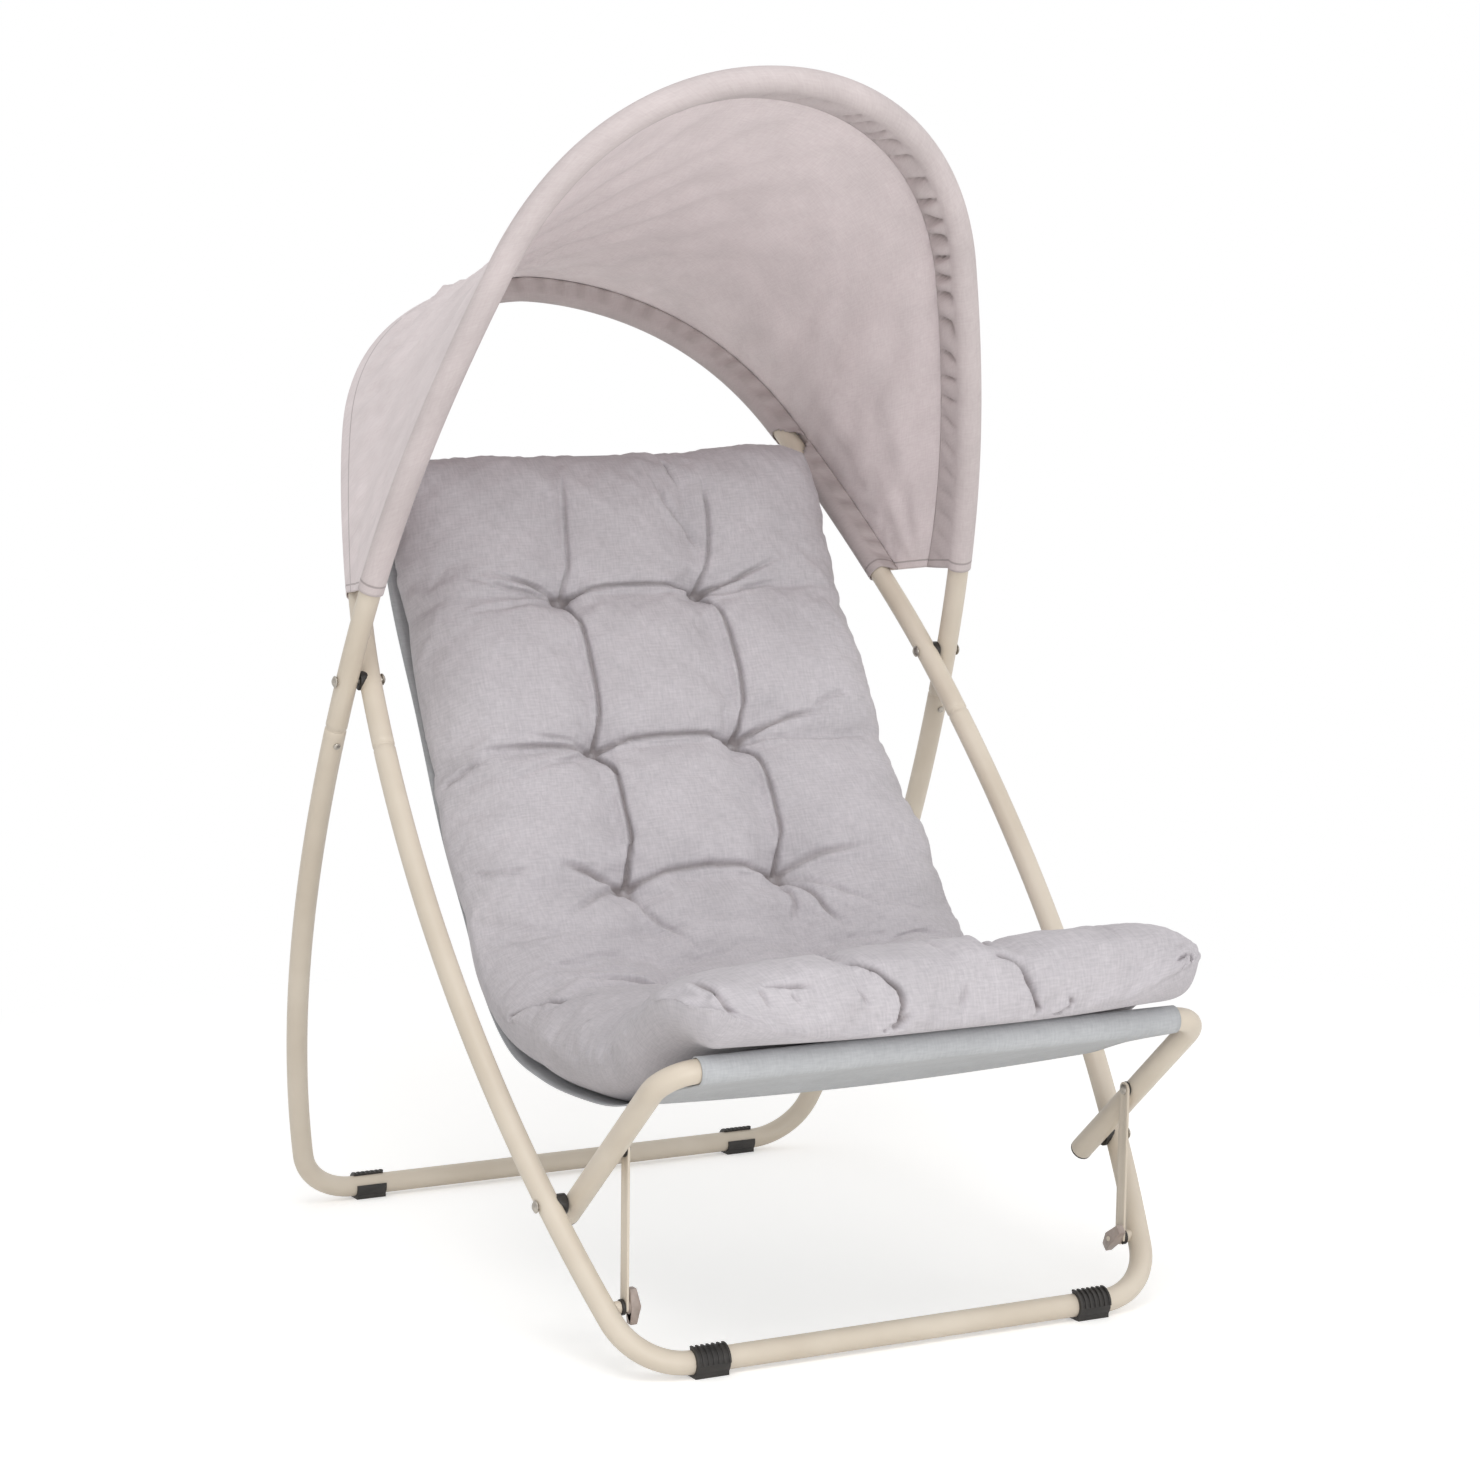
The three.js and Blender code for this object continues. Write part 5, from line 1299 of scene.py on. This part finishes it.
# %% [markdown]
# Cloth that is stretched over two hoops has more tension one way than the other, and
# answers with long, soft diagonal folds. They are strongest at the back of the crown on
# the left. The front pocket's under layer was gathered as it was sewn, so it puckers
# from seam to tube, and the rear pocket is scalloped a little all along.

# %% Folds of the canopy's sheet
# Folds are in millimetres, and lengths along and across the cloth in metres.
LEFT_DEPTH, RIGHT_DEPTH, WANDER_DEPTH, SEAM_DEPTH = 7.5, 2.4, 2.6, 1.2
u = stations[:, None] * np.ones(columns)
width = along_section[:, sheet_end] - along_section[:, sheet_start]
w = np.clip(from_front / width[:, None], 0, 1)
inside = smoothstep(from_front, 0.059, 0.12) * smoothstep(from_rear, 0.022, 0.07)
wave = along_arch + 0.014 * wander(u * 3, w * 1.5, 3)


def diagonal(lean, pitch, start):
    """Waves one pitch apart that lean by some metres between the two hoops."""
    return np.sin(2 * math.pi * (wave + lean * (w - 0.5)) / pitch + start)


fold_left = diagonal(-0.42, 0.079, 0) + 0.35 * diagonal(-0.3, 0.041, 1)
fold_right = diagonal(0.25, 0.083, 1)
where_left = hump(u - 0.1 * (w - 0.5), 0.57, 0.14) * (0.2 + 0.8 * w)
where_right = hump(u, 0.24, 0.16) * (0.3 + 0.4 * w)
folds = LEFT_DEPTH * where_left * fold_left + RIGHT_DEPTH * where_right * fold_right
folds = (folds + WANDER_DEPTH * wander(u * 4, w * 2, 5)) * inside
by_seam = smoothstep(w, 0.62, 0.86) * smoothstep(from_rear, 0.022, 0.04)
folds = folds + SEAM_DEPTH * by_seam * np.sin(2 * math.pi * (wave + 0.1 * w) / 0.043)

# %% Puckers of the front pocket and scallops of the rear one
GATHER_PITCH, PUCKER_DEPTH, SCALLOP_DEPTH = 0.031, 7.5, 2.6
column = np.arange(columns)[None, :]
on_flap = (column < FLAP_END) * np.sin(math.pi * np.clip(column / FLAP_END, 0, 1))
gather = hump(u, 0.29, 0.13) + 0.6 * hump(u, 0.71, 0.12) + 0.15
turned = (along_arch * (1 + 0.04 * wander(u * 6, u * 0, 8)) + 0.03 * column / FLAP_END) / GATHER_PITCH
pucker = 1 - 2 * np.abs(np.sin(math.pi * turned)) ** 0.8
folds = folds - PUCKER_DEPTH * on_flap * gather * pucker
on_hem = column > columns - HEM_POINTS - 1
scallop = np.sin(2 * math.pi * along_arch / GATHER_PITCH + 2 * wander(u * 5, u * 0, 9))
folds = folds + SCALLOP_DEPTH * on_hem * np.sin(math.pi * (columns - 1 - column) / HEM_POINTS) * scallop
places = places + normals_on(places) * folds[:, :, None] * MM
# Painted shade: the creases map darkens the valleys of the front pocket's puckers and, more weakly, the rear
# hem's scallops.
shade_in_crease = on_flap ** 0.5 * np.minimum(1.2 * gather, 1) * smoothstep(pucker, 0.1, 0.9)
shade_in_crease = shade_in_crease + 0.3 * on_hem * smoothstep(scallop, -0.6, 1)
print("deepest fold:", round(float(np.abs(folds).max()), 1), "mm")

# %% The sheet, with its two openings for the crossbar
# Each is a lozenge on the inner side of the rear pocket, where the crossbar's end shows.
# In its middle it reaches round the tube to 0.7 of the pocket's radius on the outer side.
SIDE_TOP, SLOT_ROUND = 420, 0.7
hoop_flat = hoop_side(FRONT)
below_crown = hoop_flat[:, 1] < SIDE_TOP
centres = (places[1:, 1:] + places[:-1, 1:] + places[1:, :-1] + places[:-1, :-1]) / 4
rise = np.hypot(centres[..., 1] - pivot.y, centres[..., 2] - pivot.z) / MM
half = np.interp(rise, hoop_flat[below_crown, 1], hoop_flat[below_crown, 0])
depth = (half - np.abs(centres[..., 0]) / MM) / SLEEVE
narrowed = (1 + SLOT_ROUND) * np.abs(rise - SLOT_RISE) / SLOT_HALF
slots = (depth > narrowed - SLOT_ROUND) & (rise < SIDE_TOP)
slots[:, :sheet_end] = False
print("cells cut out:", int(slots.sum()))
mesh = grid_mesh(
    "canopy_cloth", places, slots, UVMap=np.stack([from_front, along_arch], axis=2),
    from_far_edges=np.stack([from_rear, from_left], axis=2), creases=np.stack([shade_in_crease, shade_in_crease], axis=2),
)

canopy = put("canopy_cloth", mesh, "canopy_fabric", None, "canopy")
thicken(canopy, CANOPY_THICK)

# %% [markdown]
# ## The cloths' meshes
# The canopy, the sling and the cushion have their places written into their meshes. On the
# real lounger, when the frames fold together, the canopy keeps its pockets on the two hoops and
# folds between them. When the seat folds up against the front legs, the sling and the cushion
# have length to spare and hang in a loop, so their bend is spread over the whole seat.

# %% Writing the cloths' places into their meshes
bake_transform(canopy)
for piece in (sling, cushion):
    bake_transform(piece)

# %% [markdown]
# ## The studio
# A level, pale floor, a broad soft lamp above and in front, a low one in front that
# reaches under the canopy, and a weak one from the right. The floor and the air are
# brighter for the camera and in reflections than as light on the object, which whitens
# the background and keeps the object's shadow.

# %% Floor


def shown_directly(tree):
    """1 for what the camera sees itself or in a reflection, and 0 for light on the object."""
    seen = add_node(tree, "LightPath", out="Is Camera Ray")
    mirrored = add_node(tree, "LightPath", out="Is Glossy Ray")
    return add_node(tree, "Math", {"operation": "MAXIMUM"}, _0=seen, _1=mirrored)


# Half the floor's width, and the distances between which its paper fades into plain white
FLOOR_HALF, FADE_START, ALL_WHITE = 30, 1.1, 2.0
level_ground = bmesh.new()
bmesh.ops.create_grid(level_ground, x_segments=1, y_segments=1, size=FLOOR_HALF)
floor_mesh = to_mesh(level_ground, "floor")
floor = new_object("floor", floor_mesh)
paper, tree, skin = new_material("matt_paper_white")
seen = shown_directly(tree)
glow = add_node(tree, "MapRange", Value=seen, _1=0, _2=1, _3=0, _4=0.35)
connect(
    tree, skin, Base_Color=linear("#F4F3F1"), Roughness=0.9, Specular_IOR_Level=0.1,
    Emission_Strength=glow, Emission_Color=(1, 1, 1, 1),
)
place = add_node(tree, "TexCoord", out="Object")
away = add_node(tree, "VectorMath", {"operation": "LENGTH"}, "Value", _0=place)
far = add_node(tree, "MapRange", Value=away, _1=FADE_START, _2=ALL_WHITE)
seen_far = add_node(tree, "Math", {"operation": "MULTIPLY"}, _0=far, _1=seen)
white = add_node(tree, "Emission", Strength=1.0)
blend = add_node(tree, "MixShader", _0=seen_far, _1=skin.outputs[0], _2=white)
connect(tree, tree.nodes["Material Output"], Surface=blend)
floor_mesh.materials.append(paper)

# %% Lamps and the surrounding light
world = bpy.data.worlds.new("studio_air")
bpy.context.scene.world = world
world.use_nodes = True
tree = world.node_tree
level = add_node(tree, "MapRange", Value=shown_directly(tree), _1=0, _2=1, _3=0.66, _4=1.0)
connect(tree, tree.nodes["Background"], Strength=level, Color=(1, 1, 1, 1))


def soft_lamp(name, place, aim, width, power):
    lamp = new_object(name, bpy.data.lights.new(name, "AREA"))
    lamp.data.shape, lamp.data.size, lamp.data.energy = "DISK", width, power
    lamp.location = place
    lamp.rotation_euler = (Vector(aim) - Vector(place)).to_track_quat("-Z", "Y").to_euler()


soft_lamp("soft_lamp_front_above", (-1.2, -1.9, 3.5), (0, 0, 0.6), 2.0, 33)
soft_lamp("soft_lamp_right", (3.2, -1.2, 2.2), (0, 0, 0.6), 2.0, 12)
soft_lamp("soft_lamp_front_low", (-0.6, -3.4, 0.9), (0, 0.1, 1.1), 1.8, 31)
